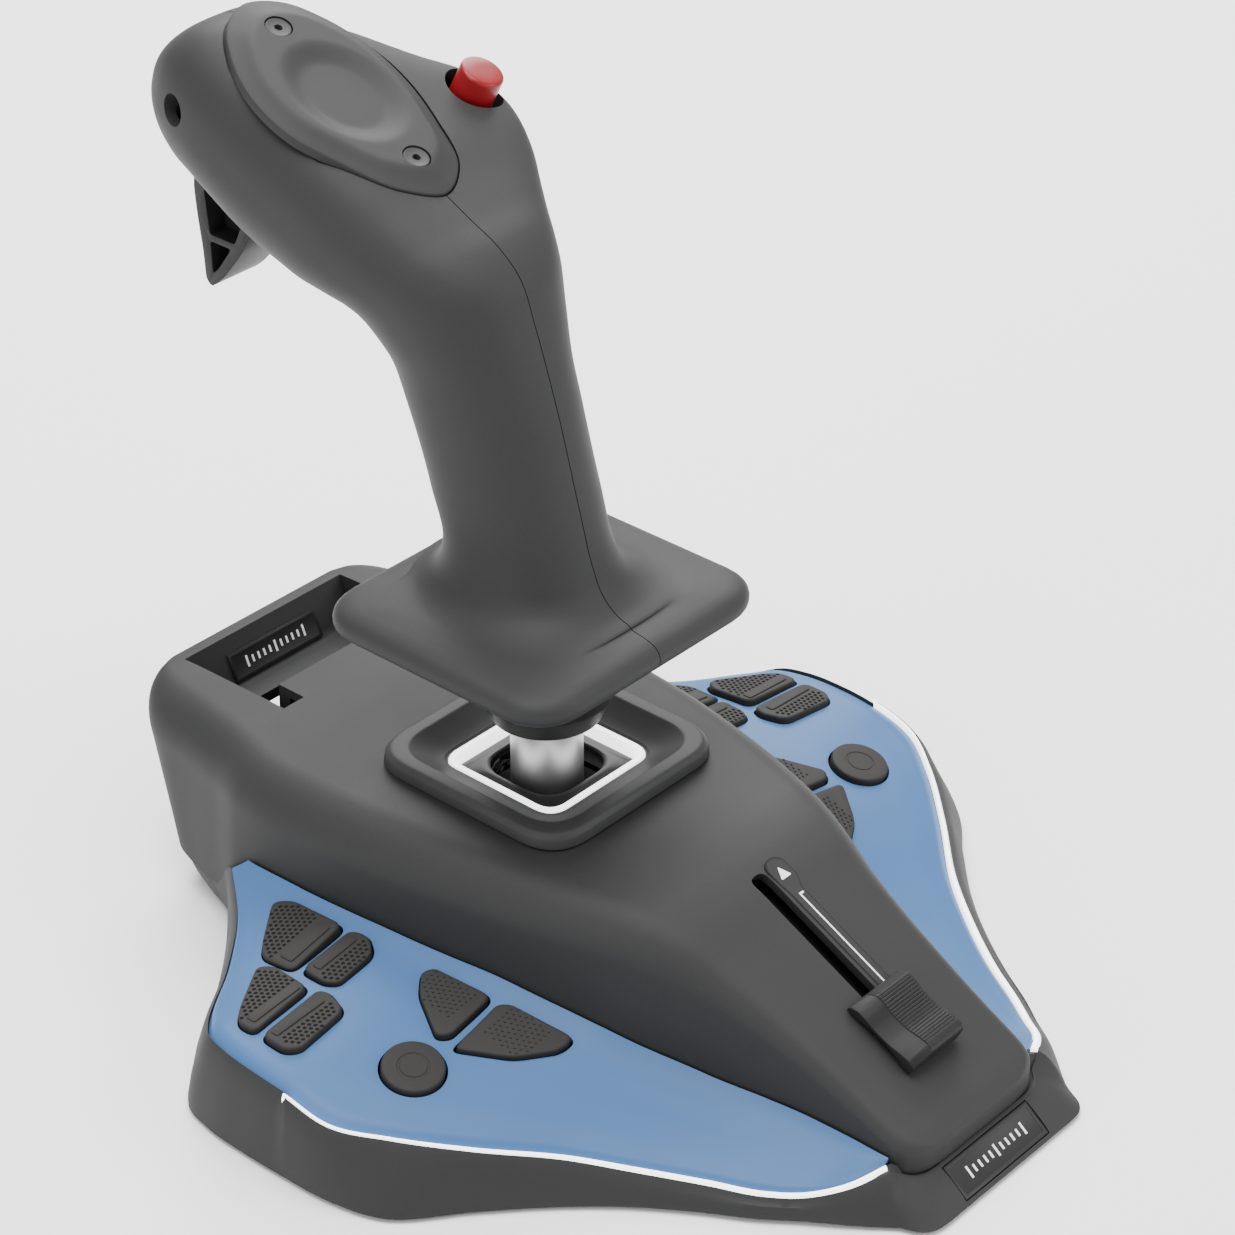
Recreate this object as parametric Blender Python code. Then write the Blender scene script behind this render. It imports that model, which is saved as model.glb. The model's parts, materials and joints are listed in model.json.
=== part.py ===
"""A desktop flight joystick: a low base with two button wings, and a tall pistol grip on a sprung gimbal.

The stick stands on the Z axis of the working frame, +X is the user's right and +Y points away from the
user. Sizes are in millimetres and are turned into metres as each mesh is made.
"""

import math

import bmesh
import bpy
import numpy as np
from mathutils import Matrix, Vector
from mathutils.bvhtree import BVHTree

MM = 0.001
GAP = 0.3
FRAME_SHIFT = 13.91  # moves the stick behind the middle of the footprint, so that the frame is centred

# Base
FLOOR_GAP = 0.8
SKIRT_WALL = 2.4
COVER_THICK = 2.0
LEDGE_DROP = 4.6
COVER_INSET = 6.8
COVER_FRONT = -127.8
PANEL_THICK = 2.4
HOUSING_WALL = 2.5

# Gimbal
PIVOT_Z = 39.0
SHAFT_R = 8.7
AXLE_R = 1.5
GATE_HALF = 11.8
RING_HALF = 18.0

# Front slope of the base, which carries the slider
SLOPE_Y, SLOPE_Z = -66.0, 45.4
SLOPE_ANGLE = math.radians(26.3)
SLIDER_REST = 54.0  # distance down the slope from its top to the knob's middle

# Grip
HEAD_ANGLE = math.radians(24.0)
HEAD_TOP = Vector((0.0, 60.0, 201.6))
TRIGGER_PIVOT = Vector((0.0, 95.6, 178.6))
THUMB_CENTRE = Vector((32.0, 49.5, 196.4))
THUMB_AXIS = Vector((0.12, -0.41, 0.904)).normalized()
NOSE_SCREW = Vector((-18.6, 92.0, 195.5))
NOSE_AXIS = Vector((-1.0, 0.25, 0.1)).normalized()
COVER_SCREWS = {"rear": -24.0, "front": 22.6}  # places along the head's slope

# Places an outline drawn in (y, z) so that it is extruded along X
SIDEWAYS = Matrix(((0, 0, 1, 0), (1, 0, 0, 0), (0, 1, 0, 0), (0, 0, 0, 1)))

# Upper housing along Y: y, lean of the section, half width, lower edge, top, fillet
HOUSING = (
    (-128.8, 0.0, 20.5, 8.6, 14.4, 2.5),
    (-127.0, 0.0, 23.3, 8.4, 15.3, 3.0),
    (-123.0, 0.0, 24.6, 8.4, 17.2, 3.5),
    (-113.0, 0.0, 25.6, 8.4, 22.1, 4.2),
    (-101.0, 0.0, 27.0, 9.0, 28.1, 5.0),
    (-88.0, 0.0, 29.2, 10.0, 34.5, 6.5),
    (-76.0, 0.0, 32.0, 11.0, 40.4, 8.0),
    (-66.0, 0.0, 35.5, 13.0, 45.2, 9.5),
    (-58.0, 0.0, 38.5, 15.0, 47.7, 10.8),
    (-50.0, 0.0, 41.2, 17.0, 48.9, 11.6),
    (-28.0, 0.0, 47.0, 22.0, 49.7, 12.0),
    (0.0, 0.0, 52.0, 23.5, 50.0, 12.0),
    (30.0, 0.0, 54.6, 23.5, 50.0, 12.0),
    (42.0, 0.0, 55.0, 24.0, 50.0, 12.0),
    (52.0, 0.0, 54.2, 25.8, 50.0, 12.0),
    (62.0, 0.06, 51.5, 13.4, 50.0, 12.0),
    (72.0, 0.18, 48.8, 10.4, 49.8, 12.0),
    (80.0, 0.32, 46.6, 10.3, 49.5, 12.0),
    (84.0, 0.38, 43.0, 10.2, 49.0, 11.0),
    (85.5, 0.39, 38.0, 10.2, 48.6, 9.0),
)

# Left wing: y of the junction with the housing and its height, then the panel's outer edge
WING = (
    (46.0, 27.6, (-58.0, 48.8, 25.4)),
    (38.0, 27.9, (-67.9, 36.8, 22.5)),
    (30.0, 28.0, (-81.3, 26.0, 20.6)),
    (22.0, 28.0, (-98.2, 14.6, 20.3)),
    (12.0, 28.0, (-101.6, 10.6, 21.4)),
    (3.0, 28.0, (-103.8, 3.0, 22.0)),
    (-6.0, 27.7, (-104.6, -7.0, 22.0)),
    (-16.0, 27.2, (-104.5, -17.0, 21.4)),
    (-28.0, 26.4, (-103.2, -30.0, 18.8)),
    (-40.0, 24.2, (-96.0, -41.0, 17.0)),
    (-52.0, 21.5, (-84.0, -54.5, 14.0)),
    (-66.0, 17.5, (-69.0, -69.5, 10.6)),
    (-78.0, 15.0, (-61.0, -80.0, 8.5)),
    (-92.0, 14.2, (-51.5, -94.5, 6.6)),
    (-103.0, 13.8, (-45.4, -105.5, 5.8)),
    (-114.0, 13.0, (-40.6, -112.3, 6.2)),
    (-120.0, 12.4, (-34.4, -119.4, 8.8)),
    (-123.4, 12.0, (-26.8, -123.8, 11.6)),
)
STRIP_FIRST = 7  # the light strip starts at this row of the wing
STRIP_WIDTH = 1.9

# Ground line of the left side, one point for each row of the wing, then the front and the rear
WING_GROUND = (
    (-56.5, 52.5), (-67.5, 44.0), (-81.5, 33.0), (-99.0, 21.0), (-105.5, 15.5), (-108.5, 6.0),
    (-109.2, -6.0), (-109.0, -18.0), (-108.0, -33.0), (-104.0, -46.0), (-89.0, -59.5), (-74.5, -73.3),
    (-66.0, -83.0), (-56.5, -96.5), (-50.0, -107.0), (-44.3, -114.6), (-37.5, -124.7), (-31.6, -132.3),
)
FRONT_ROWS = (((-21.5, -129.9, 7.9), (-28.3, -137.6)), ((-18.0, -130.4, 7.9), (-24.5, -139.4)))
REAR_ROWS = (
    ((-36.0, 85.5, 9.5), (-35.0, 82.5)),
    ((-43.0, 82.0, 9.5), (-41.0, 79.5)),
    ((-47.6, 72.0, 9.5), (-45.4, 70.5)),
    ((-51.6, 62.0, 12.2), (-48.0, 63.0)),
    ((-55.6, 53.6, 22.4), (-52.0, 56.0)),
)

# Wing buttons of the left side, as outlines seen from above
BUTTONS = {
    "hat_rear": ((-61.5, 31.0), (-58.6, 27.0), (-58.2, 10.6), (-75.8, 10.0), (-76.3, 19.6), (-72.6, 23.2)),
    "key_rear": ((-58.4, 8.2), (-57.3, 3.4), (-60.8, -1.4), (-72.6, -2.0), (-74.6, 0.8), (-74.7, 8.2)),
    "hat_outer": ((-80.0, 17.2), (-77.4, 14.0), (-78.3, 2.0), (-96.6, 0.8), (-96.6, 6.2), (-93.2, 9.4)),
    "key_outer": ((-77.4, -0.2), (-76.4, -3.4), (-78.6, -9.8), (-94.0, -11.4), (-96.6, -8.8), (-96.6, -1.3)),
    "round": None,
    "arrow_rear": (
        (-58.2, -14.0), (-55.2, -15.2), (-52.8, -31.0), (-67.6, -31.9), (-70.0, -29.6), (-63.4, -18.2),
    ),
    "arrow_front": (
        (-69.6, -34.2), (-53.4, -33.0), (-51.2, -35.2), (-47.6, -51.4), (-52.6, -51.4), (-61.6, -45.4),
    ),
}
ROUND_BUTTON = (-79.9, -32.2, 7.3)
BUTTON_PROUD = 1.6
BUTTON_STEM = 3.6

# Grip sections: rear or top point (y, z), front or underside point (y, z), half widths to the left and
# to the right, the squareness of the rear or top half on each side, and how far the right side tapers
GRIP = (
    ((-26.0, 96.6), (33.0, 96.6), 26.5, 26.5, 2.4, 2.4, 0.0),
    ((-19.2, 100.4), (27.6, 100.4), 20.6, 20.6, 2.3, 2.3, 0.0),
    ((-15.6, 106.5), (25.6, 106.0), 18.0, 18.0, 2.3, 2.3, 0.0),
    ((-10.8, 121.7), (29.2, 120.5), 17.4, 17.4, 2.3, 2.3, 0.0),
    ((-5.0, 142.6), (36.2, 140.0), 17.6, 17.6, 2.3, 2.3, 0.0),
    ((-2.0, 152.0), (39.8, 149.2), 18.3, 18.3, 2.3, 2.3, 0.0),
    ((2.0, 163.5), (43.4, 153.8), 20.0, 21.0, 2.4, 2.4, 0.0),
    ((6.6, 174.2), (47.6, 156.4), 21.3, 24.0, 2.5, 2.6, 0.05),
    ((13.0, 179.6), (50.6, 157.4), 22.2, 27.2, 2.6, 3.0, 0.1),
    ((21.4, 183.6), (53.5, 157.8), 23.0, 32.5, 2.8, 3.6, 0.2),
    ((29.8, 187.8), (57.0, 158.0), 23.5, 38.0, 3.0, 4.4, 0.3),
    ((38.4, 192.4), (61.5, 158.4), 24.0, 42.2, 3.2, 5.0, 0.38),
    ((47.0, 196.2), (67.5, 159.2), 24.0, 44.0, 3.4, 5.2, 0.42),
    ((56.0, 200.2), (74.0, 160.6), 24.0, 41.5, 3.4, 5.0, 0.4),
    ((65.0, 204.2), (80.5, 163.0), 24.0, 33.5, 3.4, 4.4, 0.3),
    ((74.0, 208.2), (87.0, 166.3), 23.8, 26.5, 3.2, 3.8, 0.15),
    ((83.0, 211.5), (94.0, 170.0), 23.0, 20.0, 3.0, 3.2, 0.0),
    ((91.0, 212.8), (100.5, 174.6), 21.4, 17.8, 2.9, 2.9, 0.0),
    ((98.5, 211.0), (106.6, 180.0), 18.6, 16.0, 2.9, 2.8, 0.0),
    ((104.6, 207.0), (110.2, 187.0), 14.6, 13.4, 2.8, 2.6, 0.0),
    ((108.2, 202.4), (111.6, 193.0), 9.4, 8.6, 2.5, 2.4, 0.0),
)
GRIP_SIDES = 24
GRIP_WALL = 2.8

# The leaf-shaped top cover, measured on the head's top plane: along the slope, then across
COVER_LEAF = (
    (-34.5, 0.0), (-29.5, 9.0), (-17.0, 14.4), (-2.0, 17.8), (10.0, 17.6), (22.0, 14.2), (30.0, 9.0),
    (33.8, 0.0), (30.0, -8.6), (21.0, -15.6), (8.0, -20.4), (-4.0, -20.4), (-16.0, -15.8), (-29.0, -8.6),
)


def material(name, colour, roughness, metallic=0.0):
    made = bpy.data.materials.new(name)
    made.use_nodes = True
    shader = made.node_tree.nodes["Principled BSDF"]
    shader.inputs["Base Color"].default_value = (*colour, 1.0)
    shader.inputs["Roughness"].default_value = roughness
    shader.inputs["Metallic"].default_value = metallic
    return made


def clear_scene():
    for obj in list(bpy.data.objects):
        bpy.data.objects.remove(obj, do_unlink=True)


clear_scene()
PARTS = bpy.data.collections.new("flight_joystick")
CUTTERS = bpy.data.collections.new("cutters")
bpy.context.scene.collection.children.link(PARTS)
bpy.context.scene.collection.children.link(CUTTERS)
CUTTERS.hide_render = True

CHARCOAL = material("charcoal_plastic", (0.075, 0.075, 0.078), 0.55)
BLACK = material("black_plastic", (0.03, 0.03, 0.032), 0.5)
KEY_GREY = material("key_plastic", (0.058, 0.054, 0.05), 0.6)
BLUE = material("blue_plastic", (0.2, 0.36, 0.6), 0.45)
WHITE = material("light_guide", (0.9, 0.9, 0.9), 0.35)
RED = material("red_plastic", (0.6, 0.02, 0.03), 0.35)
SATIN = material("satin_aluminium", (0.5, 0.5, 0.5), 0.35, 1.0)
STEEL = material("steel", (0.45, 0.45, 0.46), 0.3, 1.0)
BOARD = material("circuit_board", (0.02, 0.12, 0.05), 0.5)
RUBBER = material("rubber", (0.02, 0.02, 0.02), 0.85)


def body(name, place, parent=None):
    """An empty on a body's joint axis; its parts and the bodies that it carries hang from it."""
    empty = bpy.data.objects.new(name, None)
    PARTS.objects.link(empty)
    at = Vector(place)
    empty["place"] = tuple(at)
    empty.parent = parent
    empty.location = (at - Vector(parent["place"])) * MM if parent else at * MM
    return empty


ROOT = body("base_body", (0.0, 0.0, 0.0))
ROOT.location.y = FRAME_SHIFT * MM
PITCH = body("pitch_body", (0.0, 0.0, PIVOT_Z), ROOT)
ROLL = body("roll_body", (0.0, 0.0, PIVOT_Z), PITCH)
GRIP_BODY = body("grip_body", (0.0, 0.0, 75.0), ROLL)
TRIGGER_BODY = body("trigger_body", TRIGGER_PIVOT, GRIP_BODY)
THUMB_BODY = body("thumb_body", THUMB_CENTRE, GRIP_BODY)


def adopt(obj, parent, finish, collection=PARTS):
    """Moves a mesh drawn in the working frame, in mm, under its body's empty."""
    obj.data.transform(Matrix.Scale(MM, 4) @ Matrix.Translation(-Vector(parent["place"])))
    obj.parent = parent
    if finish:
        obj.data.materials.append(finish)
        obj.data.shade_smooth()
        obj.data.set_sharp_from_angle(angle=math.radians(32))
    collection.objects.link(obj)
    if collection is CUTTERS:
        obj.hide_render = True
        obj.display_type = "WIRE"
    return obj


def from_bmesh(name, bm, parent, finish=None, collection=PARTS):
    bmesh.ops.recalc_face_normals(bm, faces=bm.faces)
    mesh = bpy.data.meshes.new(name)
    bm.to_mesh(mesh)
    bm.free()
    return adopt(bpy.data.objects.new(name, mesh), parent, finish, collection)


def loft(rings, ends="cap"):
    """Skins a row of closed rings with the same number of points; ends are capped or joined round."""
    bm = bmesh.new()
    rows = [[bm.verts.new(point) for point in ring] for ring in rings]
    pairs = list(zip(rows, rows[1:]))
    if ends == "round":
        pairs.append((rows[-1], rows[0]))
    count = len(rows[0])
    for near, far in pairs:
        for i in range(count):
            j = (i + 1) % count
            bm.faces.new((near[i], near[j], far[j], far[i]))
    if ends == "cap":
        bm.faces.new(rows[0])
        bm.faces.new(rows[-1])
    return bm


def rounded(points, radius, steps=3):
    """A flat outline with each of its corners turned into an arc."""
    outline = []
    count = len(points)
    for i, point in enumerate(points):
        corner = Vector(point)
        before = Vector(points[i - 1]) - corner
        after = Vector(points[(i + 1) % count]) - corner
        reach = min(radius, 0.45 * before.length, 0.45 * after.length)
        start = corner + before.normalized() * reach
        end = corner + after.normalized() * reach
        for k in range(steps + 1):
            t = k / steps
            outline.append(start * (1 - t) ** 2 + corner * 2 * t * (1 - t) + end * t ** 2)
    return outline


def square_ring(half, corner, z, steps=3):
    corners = [(half, half), (-half, half), (-half, -half), (half, -half)]
    return [Vector((p.x, p.y, z)) for p in rounded(corners, corner, steps)]


def place_between(outline, low, high, matrix=None):
    """A prism on a flat outline, from low to high along its own Z."""
    bm = loft([[Vector((p[0], p[1], z)) for p in outline] for z in (low, high)])
    if matrix:
        bm.transform(matrix)
    return bm


def box(low, high, matrix=None):
    outline = [(low[0], low[1]), (high[0], low[1]), (high[0], high[1]), (low[0], high[1])]
    return place_between(outline, low[2], high[2], matrix)


def circle(radius, sides):
    return [
        (radius * math.cos(2 * math.pi * i / sides), radius * math.sin(2 * math.pi * i / sides))
        for i in range(sides)
    ]


def facing(centre, axis, spin=(0.0, 1.0, 0.0)):
    """A matrix whose Z lies along axis and whose Y leans towards spin."""
    z = Vector(axis).normalized()
    x = Vector(spin).cross(z).normalized()
    y = z.cross(x)
    return Matrix.Translation(Vector(centre)) @ Matrix((x, y, z)).transposed().to_4x4()


def rod(centre, axis, radius, low, high, sides=16):
    spin = (1.0, 0.0, 0.0) if abs(Vector(axis).normalized().y) > 0.9 else (0.0, 1.0, 0.0)
    return place_between(circle(radius, sides), low, high, facing(centre, axis, spin))


def turned(profile, matrix=None, sides=24, ends="round"):
    """A turned ring: the profile lists radius and height, and closes on itself."""
    rings = [[Vector((r * c, r * s, z)) for c, s in circle(1.0, sides)] for r, z in profile]
    bm = loft(rings, ends)
    if matrix:
        bm.transform(matrix)
    return bm


def cut(target, operation, *tools):
    for tool in tools:
        modifier = target.modifiers.new(operation.lower(), "BOOLEAN")
        modifier.operation = operation
        modifier.solver = "EXACT"
        modifier.object = tool


def cutter(name, bm, parent):
    return from_bmesh(name, bm, parent, None, CUTTERS)


def baked(obj):
    """The object's mesh with its modifiers applied, so that it can be used again."""
    bpy.context.view_layer.update()
    graph = bpy.context.evaluated_depsgraph_get()
    obj.data = bpy.data.meshes.new_from_object(obj.evaluated_get(graph))
    obj.modifiers.clear()
    return obj


def coil(name, centre, axis, radius, wire, turns, length, parent):
    """A close coil of wire round an axis, as a curve with filled ends."""
    steps = 12
    matrix = facing(centre, axis, (1.0, 0.0, 0.0) if abs(axis[1]) > 0.9 else (0.0, 1.0, 0.0))
    curve = bpy.data.curves.new(name, "CURVE")
    curve.dimensions = "3D"
    curve.bevel_depth = wire * MM
    curve.bevel_resolution = 1
    curve.use_fill_caps = True
    spline = curve.splines.new("POLY")
    count = turns * steps + 1
    spline.points.add(count - 1)
    origin = Vector(parent["place"])
    for i in range(count):
        angle = 2 * math.pi * i / steps
        along = (i / (count - 1) - 0.5) * length
        point = matrix @ Vector((radius * math.cos(angle), radius * math.sin(angle), along))
        spline.points[i].co = (*((point - origin) * MM), 1.0)
    obj = bpy.data.objects.new(name, curve)
    curve.materials.append(STEEL)
    PARTS.objects.link(obj)
    obj.parent = parent
    return obj


# ---- Base -------------------------------------------------------------------------------------------


def housing_half(y):
    rows = np.array(HOUSING)
    return float(np.interp(y, rows[:, 0], rows[:, 2]))


def slope_matrix():
    """The front slope's frame: Y runs up it, Z stands off it, and its origin is at its upper end."""
    return Matrix.Translation((0, SLOPE_Y, SLOPE_Z)) @ Matrix.Rotation(SLOPE_ANGLE, 4, "X")


def housing_ring(y, lean, half, low, top, fillet, wall=0.0, drop=0.0):
    half, top, low = half - wall, top - wall, low - drop
    fillet = max(fillet - wall, 1.0)
    draft = 0.08 * (top - fillet - low)
    right = [(half, low), (half - 0.5 * draft, 0.5 * (low + top - fillet))]
    for k in range(5):
        angle = math.pi / 8 * k
        across = half - draft - fillet * (1 - math.cos(angle))
        right.append((across, top - fillet * (1 - math.sin(angle))))
    points = right + [(-x, z) for x, z in reversed(right)]
    return [Vector((x, y + lean * (z - 10.0), z)) for x, z in points]


def upper_housing():
    outer = from_bmesh("upper_housing", loft([housing_ring(*row) for row in HOUSING]), ROOT, CHARCOAL)
    first, last = HOUSING[1], HOUSING[-2]
    inner_rows = [(first[0] + 1.5, *first[1:]), *HOUSING[2:-2], (last[0] - 2.0, *last[1:])]
    inner = loft([housing_ring(*row, wall=HOUSING_WALL, drop=12.0) for row in inner_rows])
    hollow = cutter("housing_hollow", inner, ROOT)
    liner = cutter("recess_liner", box((-31, 66.5, 34.5), (31, 110, 60)), ROOT)
    cut(hollow, "DIFFERENCE", liner)
    recess_side = [(70.0, 56.0), (70.6, 41.0), (74.0, 37.5), (91.6, 37.5), (97.0, 50.0), (97.0, 56.0)]
    recess = cutter("rear_recess", place_between(recess_side, -27.0, 27.0, SIDEWAYS), ROOT)
    cable_slot = cutter("cable_slot", box((-17.0, 75.0, 20.0), (-7.0, 84.0, 60.0)), ROOT)
    cable_notch = cutter("cable_notch", box((-26.9, 61.5, 43.0), (-20.2, 72.5, 60.0)), ROOT)
    well = cutter("gimbal_well", loft([square_ring(25.0, 8.0, z) for z in (30.0, 60.0)]), ROOT)
    slot_outline = rounded([(2.4, 2.0), (-2.4, 2.0), (-2.4, -50.0), (2.4, -50.0)], 2.2)
    slot = cutter("slider_slot", place_between(slot_outline, -9.0, 6.0, slope_matrix()), ROOT)
    cut(outer, "DIFFERENCE", hollow, recess, cable_slot, cable_notch, well, slot)
    port = cutter("port_opening", box((-13.0, 70.0, 14.0), (6.6, 99.0, 34.0)), ROOT)
    cut(outer, "DIFFERENCE", port)
    return outer


def wing_surface(side=-1):
    """Rings across the wing panel, from its rear tip to its front tip."""
    rings = []
    across = (0.0, 0.1, 0.3, 0.6, 0.86, 0.96, 1.0)
    sag = (0.0, -0.75, -0.9, -0.3, 0.15, -0.1, -1.0)
    for y, z, outer in WING:
        start = Vector((-(housing_half(y) + GAP + 0.1), y, z))
        end = Vector(outer)
        width = min((end - start).xy.length / 40.0, 1.0)
        top = [
            start.lerp(end, t) + Vector((0, 0, drop * width * 1.3))
            for t, drop in zip(across, sag)
        ]
        thick = PANEL_THICK * max(width, 0.35)
        under = [p - Vector((0, 0, thick)) for p in reversed(top)]
        rings.append([Vector((-side * p.x, p.y, p.z)) for p in top + under])
    return rings


def outward(points, i):
    """Unit vector in the ground plane, square to the outline at point i, away from the base."""
    before, after = Vector(points[max(i - 1, 0)][:2]), Vector(points[min(i + 1, len(points) - 1)][:2])
    along = (after - before).normalized()
    return Vector((along.y, -along.x))


def wing_edge():
    """The panel's outer edge with its outward direction at each row of the wing."""
    points = [row[2] for row in WING]
    edge = []
    for i, point in enumerate(points):
        away = outward(points, i)
        edge.append((Vector(point), Vector((away.x, away.y, 0.0))))
    return edge


def skirt_rows():
    """Top edge and ground point of the lower shell's left half, from the rear middle to the front."""
    rows = [(Vector(top), Vector((*ground, 0))) for top, ground in REAR_ROWS]
    for i, (point, away) in enumerate(wing_edge()):
        shift = GAP + 0.1 if i < STRIP_FIRST else STRIP_WIDTH + 2 * GAP
        rows.append((point + away * shift, Vector((*WING_GROUND[i], 0))))
    rows += [(Vector(top), Vector((*ground, 0))) for top, ground in FRONT_ROWS]
    return rows


def mirrored(rows):
    flip = Vector((-1, 1, 1))
    return rows + [tuple(point * flip for point in row) for row in reversed(rows)]


def lower_shell():
    rows = mirrored(skirt_rows())
    rear = len(REAR_ROWS)
    grounds = [ground for _, ground in rows]
    rings = []
    for i, (top, ground) in enumerate(rows):
        before, after = grounds[i - 1], grounds[(i + 1) % len(rows)]
        along = (after - before).normalized()
        inward = Vector((-along.y, along.x, 0)) * SKIRT_WALL
        lift = Vector((0, 0, FLOOR_GAP))
        inner = ground + inward * 1.5
        ledge = Vector((0, 0, 0 if i < rear or i >= len(rows) - rear else -LEDGE_DROP))
        rings.append([ground + lift, top, top + inward * 0.04 + ledge, top + inward + ledge, inner + lift])
    shell = from_bmesh("lower_shell", loft(rings, "round"), ROOT, CHARCOAL)
    pocket = cutter("badge_pocket", box((-15.6, -4.6, -0.7), (15.6, 4.6, 4.0), lip_matrix()), ROOT)
    cut(shell, "DIFFERENCE", pocket)
    return grounds


def lip_matrix():
    rise, run = 7.9 - FLOOR_GAP, 139.4 - 130.4
    return Matrix.Translation((0, -134.6, 4.6)) @ Matrix.Rotation(math.atan2(rise, run), 4, "X")


def wings():
    panels = {}
    for side, name in ((-1, "left"), (1, "right")):
        bm = loft(wing_surface(side))
        bmesh.ops.triangulate(bm, faces=bm.faces)
        panels[side] = from_bmesh(f"wing_panel_{name}", bm, ROOT, BLUE)
    return panels


def light_strips():
    for side, name in ((-1, "left"), (1, "right")):
        rings = []
        for point, away in wing_edge()[STRIP_FIRST:]:
            inner = point + away * GAP
            outer = point + away * (GAP + STRIP_WIDTH)
            ring = [inner, outer, outer - Vector((0, 0, 2.0)), inner - Vector((0, 0, 2.0))]
            rings.append([Vector((-side * p.x, p.y, p.z)) for p in ring])
        from_bmesh(f"light_strip_{name}", loft(rings), ROOT, WHITE)


def surface_frame(panel, x, y):
    """Point and normal of the panel's top above x, y, in the working frame."""
    bm = bmesh.new()
    bm.from_mesh(panel.data)
    tree = BVHTree.FromBMesh(bm)
    hit, normal, _, _ = tree.ray_cast(Vector((x, y, 100.0)) * MM, Vector((0, 0, -1)))
    bm.free()
    return hit / MM, normal


def button_outline(name, grow=0.0):
    if BUTTONS[name] is None:
        x, y, radius = ROUND_BUTTON
        return [Vector((x + u, y + v)) for u, v in circle(radius + grow, 20)]
    outline = rounded(BUTTONS[name], 2.6, 2)
    middle = sum(outline, Vector((0, 0))) / len(outline)
    reach = sum((p - middle).length for p in outline) / len(outline)
    return [middle + (p - middle) * (1 + grow / reach) for p in outline]


def wing_buttons(panels):
    """Seven keys on each wing, each sliding square to the panel, with a hole in the panel for each."""
    for side, wing in ((-1, "left"), (1, "right")):
        panel = panels[side]
        holes = []
        for name in BUTTONS:
            outline = [Vector((-side * p.x, p.y)) for p in button_outline(name)]
            wide = [Vector((-side * p.x, p.y)) for p in button_outline(name, 0.55)]
            middle = sum(outline, Vector((0, 0))) / len(outline)
            hit, normal = surface_frame(panel, middle.x, middle.y)
            carrier = body(f"{wing}_{name}_body", hit, ROOT)
            frame = facing(hit, normal)
            flat = [Vector((p.x - middle.x, p.y - middle.y)) for p in outline]
            hole = [Vector((p.x - middle.x, p.y - middle.y)) for p in wide]
            rings = [
                [Vector((p.x, p.y, -BUTTON_STEM)) for p in flat],
                [Vector((p.x, p.y, BUTTON_PROUD - 0.7)) for p in flat],
                [Vector((p.x * 0.93, p.y * 0.93, BUTTON_PROUD)) for p in flat],
            ]
            bm = loft(rings)
            bm.transform(frame)
            from_bmesh(f"{wing}_{name}_button", bm, carrier, KEY_GREY)
            holes.append(cutter(f"{wing}_{name}_hole", place_between(hole, -9.0, 9.0, frame), ROOT))
        cut(panel, "DIFFERENCE", *holes)


def bezel_and_gate():
    rows = (
        (30.2, 11.4, 50.35), (30.0, 11.4, 52.8), (28.9, 10.9, 54.0), (26.2, 9.6, 54.0), (18.4, 5.7, 50.2),
        (18.4, 5.7, 46.9), (22.0, 6.5, 46.9), (24.6, 7.4, 50.35),
    )
    bezel = loft([square_ring(*row) for row in rows], "round")
    from_bmesh("gimbal_bezel", bezel, ROOT, CHARCOAL)
    half = RING_HALF
    ring = ((half, 5.5, 50.0), (half - 1.9, 4.6, 49.4), (half - 1.9, 4.6, 46.9), (half, 5.5, 46.9))
    from_bmesh("light_ring", loft([square_ring(*row) for row in ring], "round"), ROOT, WHITE)
    inner = half - 1.9 - GAP
    gate = (
        (inner, 4.4, 49.0), (GATE_HALF, 3.6, 48.2), (GATE_HALF, 3.6, 46.9), (inner, 4.4, 46.9),
    )
    from_bmesh("gate_plate", loft([square_ring(*row) for row in gate], "round"), ROOT, BLACK)


def bottom_and_feet(grounds):
    ring = []
    for i, ground in enumerate(grounds):
        before, after = grounds[i - 1], grounds[(i + 1) % len(grounds)]
        along = (after - before).normalized()
        ring.append(ground + Vector((-along.y, along.x, 0)) * COVER_INSET)
    low, high = FLOOR_GAP, FLOOR_GAP + COVER_THICK
    cover = from_bmesh("bottom_cover", place_between(ring, low, high), ROOT, BLACK)
    holes = [cutter("cover_front_trim", box((-60, -150, -2), (60, COVER_FRONT, 6)), ROOT)]
    for name, x, y in (("rear", 34.0, 66.0), ("front", 22.0, -118.0)):
        for side, hand in ((-1, "left"), (1, "right")):
            place = (side * x, y, 0.0)
            top = FLOOR_GAP + 1.0
            profile = ((5.6, 0.0), (6.0, 0.4), (6.0, top), (1.2, top), (1.2, 0.0))
            foot = turned(profile, Matrix.Translation(place))
            from_bmesh(f"foot_{name}_{hand}", foot, ROOT, RUBBER)
            pocket = rod(place, (0, 0, 1), 6.3, -1.0, top + GAP)
            holes.append(cutter(f"foot_pocket_{name}_{hand}", pocket, ROOT))
    cut(cover, "DIFFERENCE", *holes)


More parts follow.
